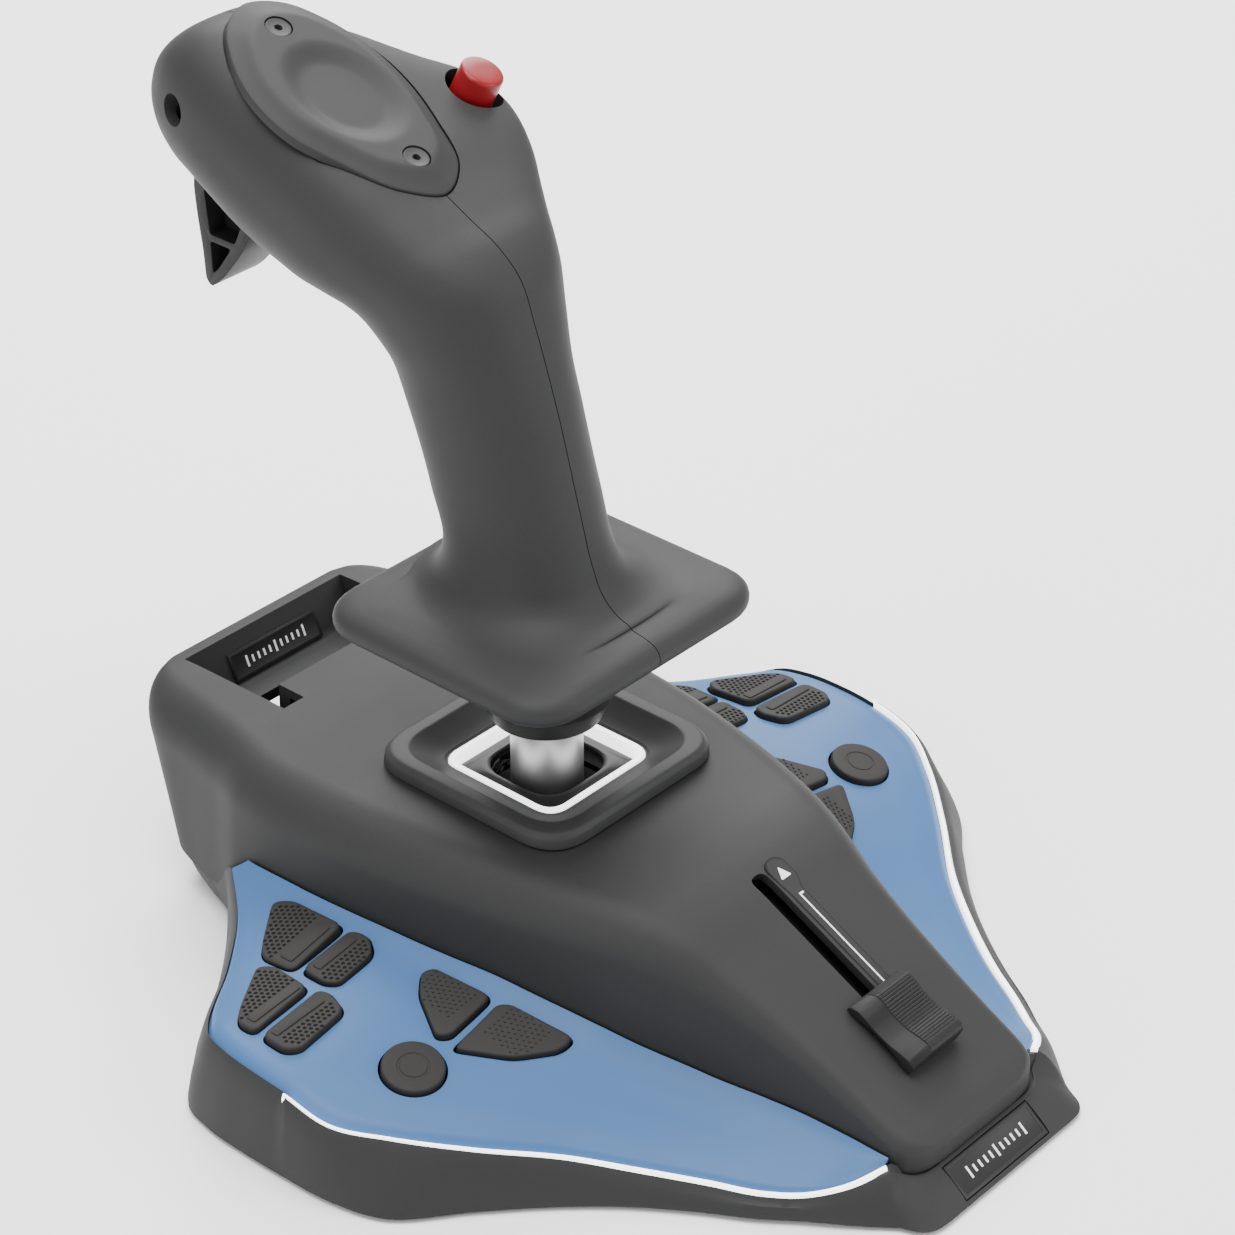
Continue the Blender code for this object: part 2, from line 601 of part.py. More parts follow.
def slider():
    frame = slope_matrix()
    rail = box((-9.0, -56.0, -8.2), (9.0, 0.0, -6.6), frame)
    from_bmesh("slider_rail", rail, ROOT, BLACK)
    carrier = body("slider_body", frame @ Vector((0, -SLIDER_REST + 10.0, 0)), ROOT)
    low = -SLIDER_REST
    side = (
        (0.6, low), (0.6, low + 18.6), (3.0, low + 18.0), (4.8, low + 14.0), (4.0, low + 9.5),
        (4.4, low + 5.0), (6.0, low + 1.6), (6.0, low - 0.6), (4.6, low - 1.6),
    )
    rings = [[frame @ Vector((x, along, up)) for up, along in side] for x in (-8.6, 8.6)]
    knob = from_bmesh("slider_knob", loft(rings), carrier, BLACK)
    stem = cutter("slider_stem", box((-2.0, low + 10.8, -6.2), (2.0, low + 17.0, 2.0), frame), carrier)
    cut(knob, "UNION", stem)


def electronics():
    from_bmesh("main_board", box((-26.0, 30.0, 6.0), (26.0, 64.0, 7.6)), ROOT, BOARD)
    port = box((-6.2, 79.0, 14.4), (6.2, 87.6, 21.6))
    shell = from_bmesh("usb_port", port, ROOT, STEEL)
    socket = rounded([(4.6, 19.7), (-4.6, 19.7), (-4.6, 16.3), (4.6, 16.3)], 1.6)
    upright = Matrix(((1, 0, 0, 0), (0, 0, 1, 0), (0, 1, 0, 0), (0, 0, 0, 1)))
    cut(shell, "DIFFERENCE", cutter("port_socket", place_between(socket, 81.0, 90.0, upright), ROOT))
    for side, hand in ((-1, "left"), (1, "right")):
        x0, x1 = sorted((side * 58.0, side * 90.0))
        from_bmesh(f"button_board_{hand}", box((x0, -40.0, 5.0), (x1, 20.0, 6.6)), ROOT, BOARD)


def badges():
    from_bmesh("front_badge", box((-15.3, -4.3, -0.4), (15.3, 4.3, 0.3), lip_matrix()), ROOT, BLACK)
    lean = math.atan2(97.0 - 91.6, 12.5)
    frame = Matrix.Translation((0, 93.5, 41.8)) @ Matrix.Rotation(math.pi / 2 - lean, 4, "X")
    from_bmesh("rear_badge", box((-15.0, -3.8, 0.3), (15.0, 3.8, 0.9), frame), ROOT, BLACK)


# ---- Gimbal -----------------------------------------------------------------------------------------


def gimbal():
    base = box((-28.0, -9.0, 4.0), (28.0, 9.0, 8.0))
    cradle = from_bmesh("gimbal_cradle", base, ROOT, BLACK)
    arms = []
    for side, hand in ((-1, "left"), (1, "right")):
        x0, x1 = sorted((side * 24.0, side * 28.0))
        arms.append(cutter(f"cradle_arm_{hand}", box((x0, -6.0, 6.0), (x1, 6.0, 43.0)), ROOT))
    cut(cradle, "UNION", *arms)
    bore = cutter("axle_bore", rod((0, 0, PIVOT_Z), (1, 0, 0), AXLE_R + GAP, -30, 30), ROOT)
    cut(cradle, "DIFFERENCE", bore)

    low, high = PIVOT_Z - 4.5, PIVOT_Z + 2.2
    frame = from_bmesh("pitch_frame", box((-18.0, -20.5, low), (18.0, 20.5, high)), PITCH, STEEL)
    window = cutter("frame_window", box((-14.2, -17.0, 20), (14.2, 17.0, 60)), PITCH)
    side_bore = cutter("frame_bore", rod((0, 0, PIVOT_Z), (0, 1, 0), AXLE_R + GAP, -30, 30), PITCH)
    cross_bore = cutter("frame_cross_bore", rod((0, 0, PIVOT_Z), (1, 0, 0), AXLE_R + GAP, -30, 30), PITCH)
    cut(frame, "DIFFERENCE", window, side_bore, cross_bore)
    for side, hand in ((-1, "left"), (1, "right")):
        from_bmesh(f"pitch_axle_{hand}", rod((0, 0, PIVOT_Z), (side, 0, 0), AXLE_R, 14.6, 29.0), PITCH, STEEL)
    coil("pitch_spring", (21.0, 0, PIVOT_Z), (1, 0, 0), 3.3, 0.5, 3, 4.2, ROOT)

    hub = from_bmesh("roll_hub", box((-11.5, -11.5, PIVOT_Z - 5.0), (11.5, 11.5, PIVOT_Z + 3.0)), ROLL, BLACK)
    hub_bore = cutter("hub_bore", rod((0, 0, PIVOT_Z), (0, 0, 1), SHAFT_R + GAP, -20, 20, 24), ROLL)
    pin_bore = cutter("hub_pin_bore", rod((0, 0, PIVOT_Z), (0, 1, 0), AXLE_R + GAP, -30, 30), ROLL)
    cut(hub, "DIFFERENCE", hub_bore, pin_bore)
    for side, end in ((-1, "front"), (1, "rear")):
        from_bmesh(f"roll_axle_{end}", rod((0, 0, PIVOT_Z), (0, side, 0), AXLE_R, 9.4, 20.4), ROLL, STEEL)
    coil("roll_spring", (0, 14.2, PIVOT_Z), (0, 1, 0), 3.0, 0.45, 2, 2.8, PITCH)

    shaft = ((7.2, 33.0), (8.7, 34.5), (8.7, 112.0), (7.4, 114.0), (4.5, 114.0), (4.5, 33.0))
    from_bmesh("stick_shaft", turned(shaft), ROLL, SATIN)


# ---- Grip -------------------------------------------------------------------------------------------


def grip_ring(rear, front, left, right, rear_power, right_power, taper, wall=0.0, sides=GRIP_SIDES):
    """One closed section: a squared oval from the rear or top point round to the front or underside."""
    top, under = Vector((0, *rear)), Vector((0, *front))
    middle, half = (top + under) / 2, (top - under).length / 2
    up = (top - under).normalized()
    ring = []
    for i in range(sides):
        angle = 2 * math.pi * (i + 0.5) / sides
        c, s = math.cos(angle), math.sin(angle)
        if s > 0:
            power = right_power if c > 0 else rear_power
        else:
            power = 2.1
        x = math.copysign(abs(c) ** (2 / power), c)
        v = math.copysign(abs(s) ** (2 / power), s)
        side = right * (1 - taper * (1 - v) / 2) if c > 0 else left
        reach = max(side - wall, 1.0)
        ring.append(middle + Vector((x * reach, 0, 0)) + up * v * (half - wall))
    return ring


def plate_rings(inset=0.0):
    """The hand rest: a soft square plate whose top rises to the grip."""
    rows = (
        (33.0, 9.0, 88.0), (37.6, 11.0, 89.0), (39.0, 12.0, 91.0), (38.7, 12.0, 93.4), (37.2, 11.0, 94.6),
        (31.0, 10.0, 96.4), (24.0, 10.0, 98.2),
    )
    rings = []
    for half, corner, z in rows:
        ring = square_ring(half - inset, corner, z, 4)
        rings.append([Vector((p.x, p.y * 0.925 + 1.0, p.z)) for p in ring])
    return rings


def leaf(grow=0.0):
    corners = [(across, along) for along, across in COVER_LEAF]
    outline = rounded(corners, 6.0, 2)
    return [p * (1 + grow / 22.0) for p in outline]


def head_frame():
    """The head's top plane: Y runs up it and away from the user, Z stands off it."""
    return Matrix.Translation(HEAD_TOP) @ Matrix.Rotation(HEAD_ANGLE, 4, "X")


def grip_shells():
    solid = from_bmesh("grip_solid", loft([grip_ring(*row) for row in GRIP]), GRIP_BODY, None, CUTTERS)
    plate = cutter("grip_plate", loft(plate_rings()), GRIP_BODY)
    cut(solid, "UNION", plate)
    baked(solid)
    inner_rows = [row for row in GRIP[2:-3]]
    hollow = cutter("grip_hollow", loft([grip_ring(*row, wall=GRIP_WALL) for row in inner_rows]), GRIP_BODY)
    bore = cutter("grip_bore", rod((0, 0, 0), (0, 0, 1), SHAFT_R + 0.5, 80, 108, 24), GRIP_BODY)
    frame = head_frame()
    seat = cutter("cover_seat", place_between(leaf(GAP), -2.4, 8.0, frame), GRIP_BODY)
    outline = [(80.0, 140.0), (80.0, 168.0), (89.0, 184.8), (101.6, 184.8), (105.6, 178.0), (105.6, 140.0)]
    slot = cutter("trigger_slot", place_between(outline, -7.6, 7.6, SIDEWAYS), GRIP_BODY)
    pin = cutter("pin_bore", rod(TRIGGER_PIVOT, (1, 0, 0), 1.8, -10.4, 10.4), GRIP_BODY)
    thumb = cutter("thumb_hole", rod(THUMB_CENTRE, THUMB_AXIS, 7.4, -10.4, 12.0, 20), GRIP_BODY)
    screw = cutter("nose_hole", rod(NOSE_SCREW, NOSE_AXIS, 3.4, -3.2, 9.0, 14), GRIP_BODY)
    up = frame.to_3x3() @ Vector((0, 0, 1))
    posts = []
    for name, along in COVER_SCREWS.items():
        post = rod(frame @ Vector((0, along, 0)), up, 1.4, -8.0, 5.0, 12)
        posts.append(cutter(f"cover_hole_{name}", post, GRIP_BODY))
    tools = [hollow, bore, seat, slot, pin, thumb, screw, *posts]
    for side, hand in ((-1, "left"), (1, "right")):
        x0, x1 = sorted((side * 0.15, side * 70.0))
        shell = bpy.data.objects.new(f"grip_{hand}_shell", solid.data.copy())
        shell.parent = GRIP_BODY
        shell.data.materials.append(CHARCOAL)
        PARTS.objects.link(shell)
        half = cutter(f"half_{hand}", box((x0, -60, 60), (x1, 140, 240)), GRIP_BODY)
        cut(shell, "INTERSECT", half)
        cut(shell, "DIFFERENCE", *tools)


def top_cover():
    frame = head_frame()
    rows = ((1.0, -2.0), (1.0, 0.0), (0.96, 0.9), (0.86, 1.5))
    rings = [[frame @ Vector((p.x * k, p.y * k, z)) for p in leaf()] for k, z in rows]
    cover = from_bmesh("top_cover", loft(rings), GRIP_BODY, CHARCOAL)
    up = frame.to_3x3() @ Vector((0, 0, 1))
    wells = []
    screw = ((3.0, 1.7), (3.0, 0.3), (1.2, 0.3), (1.2, -6.5), (0.5, -6.5), (1.4, 1.7))
    well = ((3.3, 6.0), (3.3, 0.0), (1.5, 0.0), (1.5, -4.0))
    for name, along in COVER_SCREWS.items():
        place = facing(frame @ Vector((0, along, 0)), up)
        from_bmesh(f"cover_screw_{name}", turned(screw, place, 16), GRIP_BODY, BLACK)
        wells.append(cutter(f"screw_well_{name}", turned(well, place, 16, "cap"), GRIP_BODY))
    cut(cover, "DIFFERENCE", *wells)


def head_parts():
    screw = turned(((2.8, -0.2), (2.8, -2.8), (1.0, -2.8), (1.2, -0.2)), facing(NOSE_SCREW, NOSE_AXIS), 14)
    from_bmesh("nose_screw", screw, GRIP_BODY, STEEL)
    from_bmesh("grip_board", box((-12.0, 38.0, 176.0), (12.0, 66.0, 177.6)), GRIP_BODY, BOARD)
    from_bmesh("trigger_pin", rod(TRIGGER_PIVOT, (1, 0, 0), 1.5, -10.0, 10.0, 12), GRIP_BODY, STEEL)
    coil("trigger_spring", TRIGGER_PIVOT + Vector((5.7, 0, 0)), (1, 0, 0), 2.6, 0.4, 2, 2.0, GRIP_BODY)
    profile = ((5.3, -7.0), (5.3, 4.4), (4.8, 5.0))
    button = turned(profile, facing(THUMB_CENTRE, THUMB_AXIS), 20, "cap")
    from_bmesh("thumb_button", button, THUMB_BODY, RED)


def trigger():
    profile = (
        (89.8, 178.0), (86.4, 170.0), (85.0, 163.4), (87.4, 157.6), (91.6, 152.0), (96.4, 146.2),
        (100.2, 143.2), (102.0, 144.8), (102.4, 152.0), (103.8, 162.0), (104.4, 170.0), (101.4, 178.0),
        (98.4, 182.8), (93.0, 182.8),
    )
    outline = rounded(profile, 1.4, 1)
    lever = from_bmesh("trigger", place_between(outline, -7.0, 7.0, SIDEWAYS), TRIGGER_BODY, BLACK)
    pocket = ((88.4, 168.6), (88.0, 164.0), (91.2, 157.2), (99.6, 157.2), (100.8, 168.6))
    lower = ((92.6, 155.4), (97.4, 148.8), (99.4, 147.0), (99.6, 155.4))
    pin = cutter("trigger_bore", rod(TRIGGER_PIVOT, (1, 0, 0), 1.8, -20, 20, 12), TRIGGER_BODY)
    coil_room = cutter("trigger_coil_room", rod(TRIGGER_PIVOT, (1, 0, 0), 3.6, 4.2, 20, 14), TRIGGER_BODY)
    sides = []
    for name, shape in (("upper", pocket), ("lower", lower)):
        for side in (-1, 1):
            x0, x1 = sorted((side * 1.6, side * 9.0))
            hollow = place_between(shape, x0, x1, SIDEWAYS)
            sides.append(cutter(f"trigger_{name}_{side}", hollow, TRIGGER_BODY))
    cut(lever, "DIFFERENCE", pin, coil_room, *sides)


def collar():
    rows = ((9.1, 63.2), (13.2, 63.2), (15.0, 65.0), (15.0, 80.5), (20.0, 87.6), (9.1, 87.6), (9.1, 84.0),
            (12.4, 82.0), (12.4, 68.0), (9.1, 66.4))
    from_bmesh("locking_collar", turned(rows, sides=28), GRIP_BODY, BLACK)
    coil("twist_spring", (0, 0, 75.0), (0, 0, 1), 10.6, 0.7, 4, 10.0, GRIP_BODY)
    tab = ((-3.4, 15.2), (3.4, 15.2), (3.4, 19.4), (-3.4, 19.4))
    spin = Matrix.Rotation(math.radians(-70), 4, "Z")
    from_bmesh("release_tab", place_between(rounded(tab, 1.5), 69.0, 79.6, spin), GRIP_BODY, BLACK)


def main():
    grounds = lower_shell()
    upper_housing()
    panels = wings()
    light_strips()
    wing_buttons(panels)
    bezel_and_gate()
    bottom_and_feet(grounds)
    slider()
    electronics()
    badges()
    gimbal()
    collar()
    grip_shells()
    top_cover()
    head_parts()
    trigger()
    bpy.context.view_layer.update()


main()
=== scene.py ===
"""Looks of a desktop flight joystick: moulded shells, soft-touch keys, light guides and the stick.

Shapes are drawn in millimetres in a working frame whose Z axis is the stick at rest, with +X to the
user's right and +Y away from the user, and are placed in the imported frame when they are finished.
"""

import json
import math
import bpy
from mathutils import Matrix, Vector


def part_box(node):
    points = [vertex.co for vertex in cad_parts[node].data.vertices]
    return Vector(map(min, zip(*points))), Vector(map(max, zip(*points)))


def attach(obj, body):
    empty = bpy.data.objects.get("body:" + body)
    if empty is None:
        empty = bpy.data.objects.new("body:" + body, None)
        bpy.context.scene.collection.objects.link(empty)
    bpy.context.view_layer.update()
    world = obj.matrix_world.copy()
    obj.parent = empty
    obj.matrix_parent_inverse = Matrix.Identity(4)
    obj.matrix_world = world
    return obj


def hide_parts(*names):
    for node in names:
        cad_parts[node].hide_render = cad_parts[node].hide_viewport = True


bl_info = {
    "name": "Flight joystick looks",
    "version": (1, 0, 0),
    "blender": (4, 5, 0),
    "location": "View3D > Sidebar > Joystick",
    "description": "Builds the shells, keys, light guides and finishes of a desktop flight joystick",
    "category": "Object",
}

import bmesh
import bpy
import numpy as np
from mathutils import Matrix, Vector

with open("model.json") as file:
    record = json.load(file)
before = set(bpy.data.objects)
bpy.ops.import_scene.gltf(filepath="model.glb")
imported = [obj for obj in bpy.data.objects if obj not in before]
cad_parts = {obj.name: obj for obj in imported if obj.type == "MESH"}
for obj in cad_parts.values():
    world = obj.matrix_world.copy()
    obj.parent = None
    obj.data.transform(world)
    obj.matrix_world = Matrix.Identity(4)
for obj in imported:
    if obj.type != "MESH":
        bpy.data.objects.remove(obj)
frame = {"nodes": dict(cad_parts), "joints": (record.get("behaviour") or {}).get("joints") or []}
for loaded in bpy.context.selected_objects:
    loaded.select_set(False)
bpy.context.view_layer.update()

MM = 0.001
SHAFT_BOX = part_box("stick_shaft")
STICK = (SHAFT_BOX[0] + SHAFT_BOX[1]) / 2
TO_FRAME = Matrix.Translation((STICK.x, STICK.y, 0.0)) @ Matrix.Scale(MM, 4)
TO_MM = TO_FRAME.inverted()
GAP = 0.3

# ---- Shape tables, in millimetres ---------------------------------------------------------------

# Upper housing along Y: y, lean of the section, half width, lower edge, top, fillet
HOUSING = (
    (-130.0, 0.0, 13.0, 7.75, 12.4, 2.0), (-129.8, 0.0, 16.4, 7.75, 13.0, 2.3),
    (-129.2, 0.0, 19.0, 7.75, 13.7, 2.5), (-128.2, 0.0, 21.3, 7.8, 14.5, 2.8),
    (-126.4, 0.0, 23.5, 7.9, 15.6, 3.2), (-123.0, 0.0, 24.6, 8.2, 17.2, 3.5),
    (-113.0, 0.0, 25.6, 8.4, 22.1, 4.2), (-101.0, 0.0, 27.0, 9.0, 28.1, 5.0),
    (-88.0, 0.0, 29.2, 10.0, 34.5, 6.5),
    (-76.0, 0.0, 32.0, 11.0, 40.4, 8.0), (-66.0, 0.0, 35.5, 13.0, 45.2, 9.5),
    (-58.0, 0.0, 38.5, 15.0, 47.7, 10.8), (-50.0, 0.0, 41.2, 17.0, 48.9, 11.6),
    (-28.0, 0.0, 47.0, 22.0, 49.7, 12.0), (0.0, 0.0, 52.0, 23.5, 50.0, 12.0),
    (30.0, 0.0, 54.6, 23.5, 50.0, 12.0), (42.0, 0.0, 55.0, 23.0, 50.0, 12.0),
    (52.0, 0.0, 54.2, 21.4, 50.0, 12.0), (62.0, 0.06, 51.5, 11.2, 50.0, 12.0),
    (72.0, 0.18, 48.8, 9.6, 49.8, 12.0), (80.0, 0.32, 46.6, 10.3, 49.5, 12.0),
    (84.0, 0.38, 43.0, 10.2, 49.0, 11.0), (85.5, 0.39, 38.0, 10.2, 48.6, 9.0),
)
HOUSING_WALL = 2.5
FILLET_STEPS = 12
NOSE_END, TAIL_START = -122.0, 82.0  # beyond these the housing's ends turn in
# Cut out of the housing: the well under the gimbal (half size, corner, z), the slider's slot on the
# slope, the cable slot and notch, and the window round the socket
GIMBAL_WELL = ((25.0, 8.0, 30.0), (25.0, 8.0, 60.0))
SLIDER_SLOT = ((2.4, 2.0), (-2.4, 2.0), (-2.4, -50.0), (2.4, -50.0))
CABLE_SLOT = ((-17, 75, 20), (-7, 84, 60))
CABLE_NOTCH = ((-26.9, 61.5, 43), (-20.2, 72.5, 60))
SOCKET_WINDOW = ((-13.0, 70.0, 14.0), (6.6, 99.0, 34.0))
# Rear recess, as an outline of y and z, and the block that stays solid round it
RECESS = ((70.0, 60.0), (70.4, 41.0), (73.2, 37.5), (91.6, 37.5), (97.8, 52.0), (97.8, 60.0))
RECESS_HALF = 27.0
RECESS_WALL = ((-31, 66.5, 34.5), (31, 110, 60))

# Left wing: y and height where it meets the housing, then the panel's outer edge
WING = (
    (46.0, 27.6, (-58.0, 48.8, 25.4)), (38.0, 27.9, (-67.9, 36.8, 22.5)),
    (30.0, 28.0, (-81.3, 26.0, 20.6)), (22.0, 28.0, (-98.2, 14.6, 20.3)),
    (12.0, 28.0, (-101.6, 10.6, 21.4)), (3.0, 28.0, (-103.8, 3.0, 22.0)),
    (-6.0, 27.7, (-104.6, -7.0, 22.0)), (-16.0, 27.2, (-104.5, -17.0, 21.4)),
    (-28.0, 26.4, (-103.2, -30.0, 18.8)), (-40.0, 24.2, (-96.0, -41.0, 17.0)),
    (-52.0, 21.5, (-84.0, -54.5, 14.0)), (-66.0, 17.5, (-69.0, -69.5, 10.6)),
    (-78.0, 15.0, (-61.0, -80.0, 8.5)), (-92.0, 14.2, (-51.5, -94.5, 6.6)),
    (-103.0, 13.8, (-45.4, -105.5, 5.8)), (-114.0, 13.0, (-40.6, -112.3, 6.2)),
    (-120.0, 12.4, (-34.4, -119.4, 8.8)), (-123.4, 12.0, (-26.8, -123.8, 11.6)),
)
STRIP_FIRST = 7  # the light strip starts at this row of the wing
REAR_STEPS, STRIP_STEPS = 45, 110  # fine steps before the strip, and its fine rows
STRIP_WIDTH = 1.9
# Section of the light strip: share of its width, height against the panel's edge
STRIP_SECTION = (
    (0.0, -0.1), (0.1, 0.1), (0.48, 0.12), (0.58, 0.0), (0.62, -0.25), (1.0, -0.9), (1.0, -2.0),
    (0.0, -2.0),
)
PANEL_THICK = 2.4
# Where the panel's surface sags below a straight line from the housing to its outer edge
SAG = ((0.0, 0.0), (0.1, -0.75), (0.3, -0.9), (0.6, -0.3), (0.86, 0.15), (0.96, -0.1), (1.0, -1.0))

# Ground line of the left side, one point for each row of the wing, then the front and the rear
WING_GROUND = (
    (-56.5, 52.5), (-67.5, 44.0), (-81.5, 33.0), (-99.0, 21.0), (-105.5, 15.5), (-108.5, 6.0),
    (-109.2, -6.0), (-109.0, -18.0), (-108.0, -33.0), (-104.0, -46.0), (-89.0, -59.5),
    (-74.5, -73.3), (-66.0, -83.0), (-56.5, -96.5), (-50.0, -107.0), (-44.3, -114.6),
    (-37.5, -124.7), (-31.6, -132.3),
)
FRONT_ROWS = (
    ((-25.0, -126.8, 9.2), (-30.5, -135.4)), ((-22.4, -129.2, 8.2), (-28.6, -137.8)),
    ((-19.4, -130.4, 7.9), (-26.0, -139.1)), ((-16.4, -130.6, 7.9), (-22.6, -139.4)),
)
REAR_ROWS = (
    ((-36.0, 85.5, 9.5), (-35.0, 82.5)), ((-43.0, 82.0, 9.5), (-41.0, 79.5)),
    ((-47.6, 72.0, 9.5), (-45.4, 70.5)), ((-51.6, 62.0, 12.2), (-48.0, 63.0)),
    ((-55.6, 53.6, 22.4), (-52.0, 56.0)),
)
REAR_FINE, FRONT_FINE = 22, 16
FLOOR_GAP = 0.8
SKIRT_WALL = 2.4
LEDGE_DROP, FLAT_DROP = 4.6, 0.6  # how far the ledge lies below the rim, under the wings and elsewhere
LEDGE_END = -124.8
LIP_MIDDLE = (0.0, -134.6, 4.6)
LIP_RISE, LIP_RUN = 7.1, 9.0
LIP_SEAT = ((-15.6, -4.6, -0.7), (15.6, 4.6, 4.0))

# Wing keys of the left side, as outlines seen from above
KEYS = {
    "hat_rear": ((-61.5, 31.0), (-58.6, 27.0), (-58.2, 10.6), (-75.8, 10.0), (-76.3, 19.6),
                 (-72.6, 23.2)),
    "key_rear": ((-58.4, 8.2), (-57.3, 3.4), (-60.8, -1.4), (-72.6, -2.0), (-74.6, 0.8),
                 (-74.7, 8.2)),
    "hat_outer": ((-80.0, 17.2), (-77.4, 14.0), (-78.3, 2.0), (-96.6, 0.8), (-96.6, 6.2),
                  (-93.2, 9.4)),
    "key_outer": ((-77.4, -0.2), (-76.4, -3.4), (-78.6, -9.8), (-94.0, -11.4), (-96.6, -8.8),
                  (-96.6, -1.3)),
    "round": None,
    "arrow_rear": ((-58.2, -14.0), (-55.2, -15.2), (-52.8, -31.0), (-67.6, -31.9), (-70.0, -29.6),
                   (-63.4, -18.2)),
    "arrow_front": ((-69.6, -34.2), (-53.4, -33.0), (-51.2, -35.2), (-47.6, -51.4), (-52.6, -51.4),
                    (-61.6, -45.4)),
}
ROUND_KEY = (-79.9, -32.2, 7.3)
KEY_PROUD = 1.6
KEY_CORNER = 2.6
KEY_REACH = 9.0
HOLE_GROW = 0.55
# Edge of a key: scale of its outline, and height above the panel's surface
KEY_EDGE = ((1.0, -3.6), (1.0, 0.85), (0.992, 1.2), (0.972, 1.44), (0.945, 1.56), (0.915, 1.6))
ROUND_GROOVE = ((0.52, 1.6), (0.5, 1.44), (0.44, 1.44), (0.42, 1.6))
# Textured patch of each key: low and high corner, and whether it is raised dots or small dimples
KEY_PATCH = {
    "hat_rear": ((-75.0, 17.6), (-59.6, 28.5), "dimples"),
    "key_rear": ((-73.4, -0.9), (-59.6, 3.2), "dimples"),
    "hat_outer": ((-95.0, 6.4), (-79.0, 16.0), "dimples"),
    "key_outer": ((-94.6, -9.9), (-78.4, -5.6), "dimples"),
    "arrow_rear": ((-64.0, -28.0), (-54.8, -16.6), "dots"),
    "arrow_front": ((-61.0, -46.4), (-50.4, -35.8), "dots"),
}
# Raised bar of each long key: its middle, half length along X and half width along Y
KEY_BAR = {
    "hat_rear": (-67.2, 14.0, 6.6, 2.0), "key_rear": (-66.2, 5.6, 6.2, 1.3),
    "hat_outer": (-87.0, 4.2, 7.4, 1.4), "key_outer": (-87.0, -3.4, 7.6, 1.2),
}

# Gimbal surround, as rounded squares: half size, corner, z
BEZEL = (
    (30.2, 11.6, 50.3), (30.15, 11.6, 50.8), (30.0, 11.6, 52.5), (29.9, 11.5, 52.8),
    (29.2, 11.3, 53.75), (29.0, 11.2, 53.9), (28.7, 11.1, 54.0), (28.4, 11.0, 54.05),
    (26.0, 10.2, 54.1), (25.7, 10.1, 54.05), (25.4, 10.0, 53.9), (25.1, 9.9, 53.7), (21.6, 8.0, 51.7),
    (19.3, 6.5, 50.6), (18.9, 6.3, 50.5), (18.6, 6.0, 50.4), (18.2, 5.8, 50.1), (18.2, 5.8, 46.9),
    (22.0, 6.5, 46.9), (24.6, 7.4, 50.3),
)
LIGHT_RING = (
    (17.9, 5.6, 49.9), (17.7, 5.5, 50.3), (17.2, 5.3, 50.4), (17.0, 5.2, 50.2), (16.8, 5.1, 50.2),
    (16.5, 5.0, 50.35), (16.2, 4.8, 50.1), (16.1, 4.7, 46.9), (17.9, 5.6, 46.9),
)
GATE = (
    (15.9, 0.9, 46.9), (15.9, 0.9, 47.1), (15.6, 1.0, 47.25), (12.9, 6.4, 48.4), (12.3, 7.2, 48.55),
    (11.9, 7.8, 48.5), (11.55, 8.1, 48.2), (11.5, 8.2, 46.9),
)
# Turned pieces on the stick's axis: radius, z
COLLAR = (
    (9.1, 63.2), (12.9, 63.2), (13.5, 63.5), (14.6, 65.8), (15.8, 68.6), (16.1, 69.4), (16.1, 72.0),
    (16.4, 72.8), (19.8, 78.6), (22.6, 83.8), (23.2, 87.7), (9.1, 87.7),
)
SHAFT = (
    (4.5, 33.0), (7.4, 33.0), (8.5, 34.1), (8.7, 34.9), (8.7, 111.6), (8.3, 112.9), (7.4, 113.7),
    (4.5, 114.0),
)
# Release tab under the hand rest: outline, z from and to, the relief under it, and where it stands
TAB = ((-4.0, 13.5), (4.0, 13.5), (4.0, 21.5), (-4.0, 21.5))
TAB_LOW, TAB_HIGH = 65.6, 83.0
TAB_RELIEF = ((-6.0, 12.0, 60.0), (6.0, 17.4, 70.6))
TAB_TURN = math.radians(-70)

# Front slope of the base, which carries the slider
SLOPE_TOP = (0.0, -66.0, 45.4)
SLOPE_ANGLE = math.radians(26.3)
SLIDER_REST = 54.0
# Slider knob: the crest of its side outline as height and place, then across it the place, how much
# the ribs stand proud and how far the section is lowered
SLIDER_CREST = (
    (0.6, 18.6), (2.9, 18.3), (4.6, 16.4), (4.9, 14.0), (4.3, 10.6), (4.5, 6.4), (5.6, 2.6), (6.1, 0.4),
)
SLIDER_SECTIONS = (
    (-8.6, 0.0, 0.5), (-8.5, 0.0, 0.46), (-8.0, 0.0, 0.4), (-5.6, 0.0, 0.2), (-3.5, 0.0, 0.05),
    (-3.2, 0.0, 0.03), (-3.1, 0.17, 0.0), (8.0, 0.17, 0.0), (8.1, 0.0, 0.0), (8.45, 0.0, 0.01),
    (8.6, 0.0, 0.05),
)
# Printed scale beside the slot, on the slope
SLIDER_INLAY = (
    (3.4, -52.0), (7.6, -52.0), (7.6, -6.0), (9.2, -3.6), (9.2, 1.6), (7.6, 3.2), (4.4, 3.2),
    (3.0, 1.6), (3.0, -3.6), (3.4, -6.0),
)
SLIDER_LINE = ((5.3, -52.0), (5.7, -52.0), (5.7, -7.8), (6.7, -7.8), (6.7, -7.3), (5.3, -7.3))
SLIDER_MARK = ((4.4, -2.6), (7.8, -2.6), (6.1, 0.6))
# Label plates: half length, half width, back, front
FRONT_LABEL = (15.3, 4.3, -0.4, 0.3)
REAR_LABEL = (15.0, 3.8, 0.3, 0.9)
REAR_LABEL_PLACE = (0, 93.5, 41.8)
REAR_LABEL_LEAN = math.atan2(5.4, 12.5)

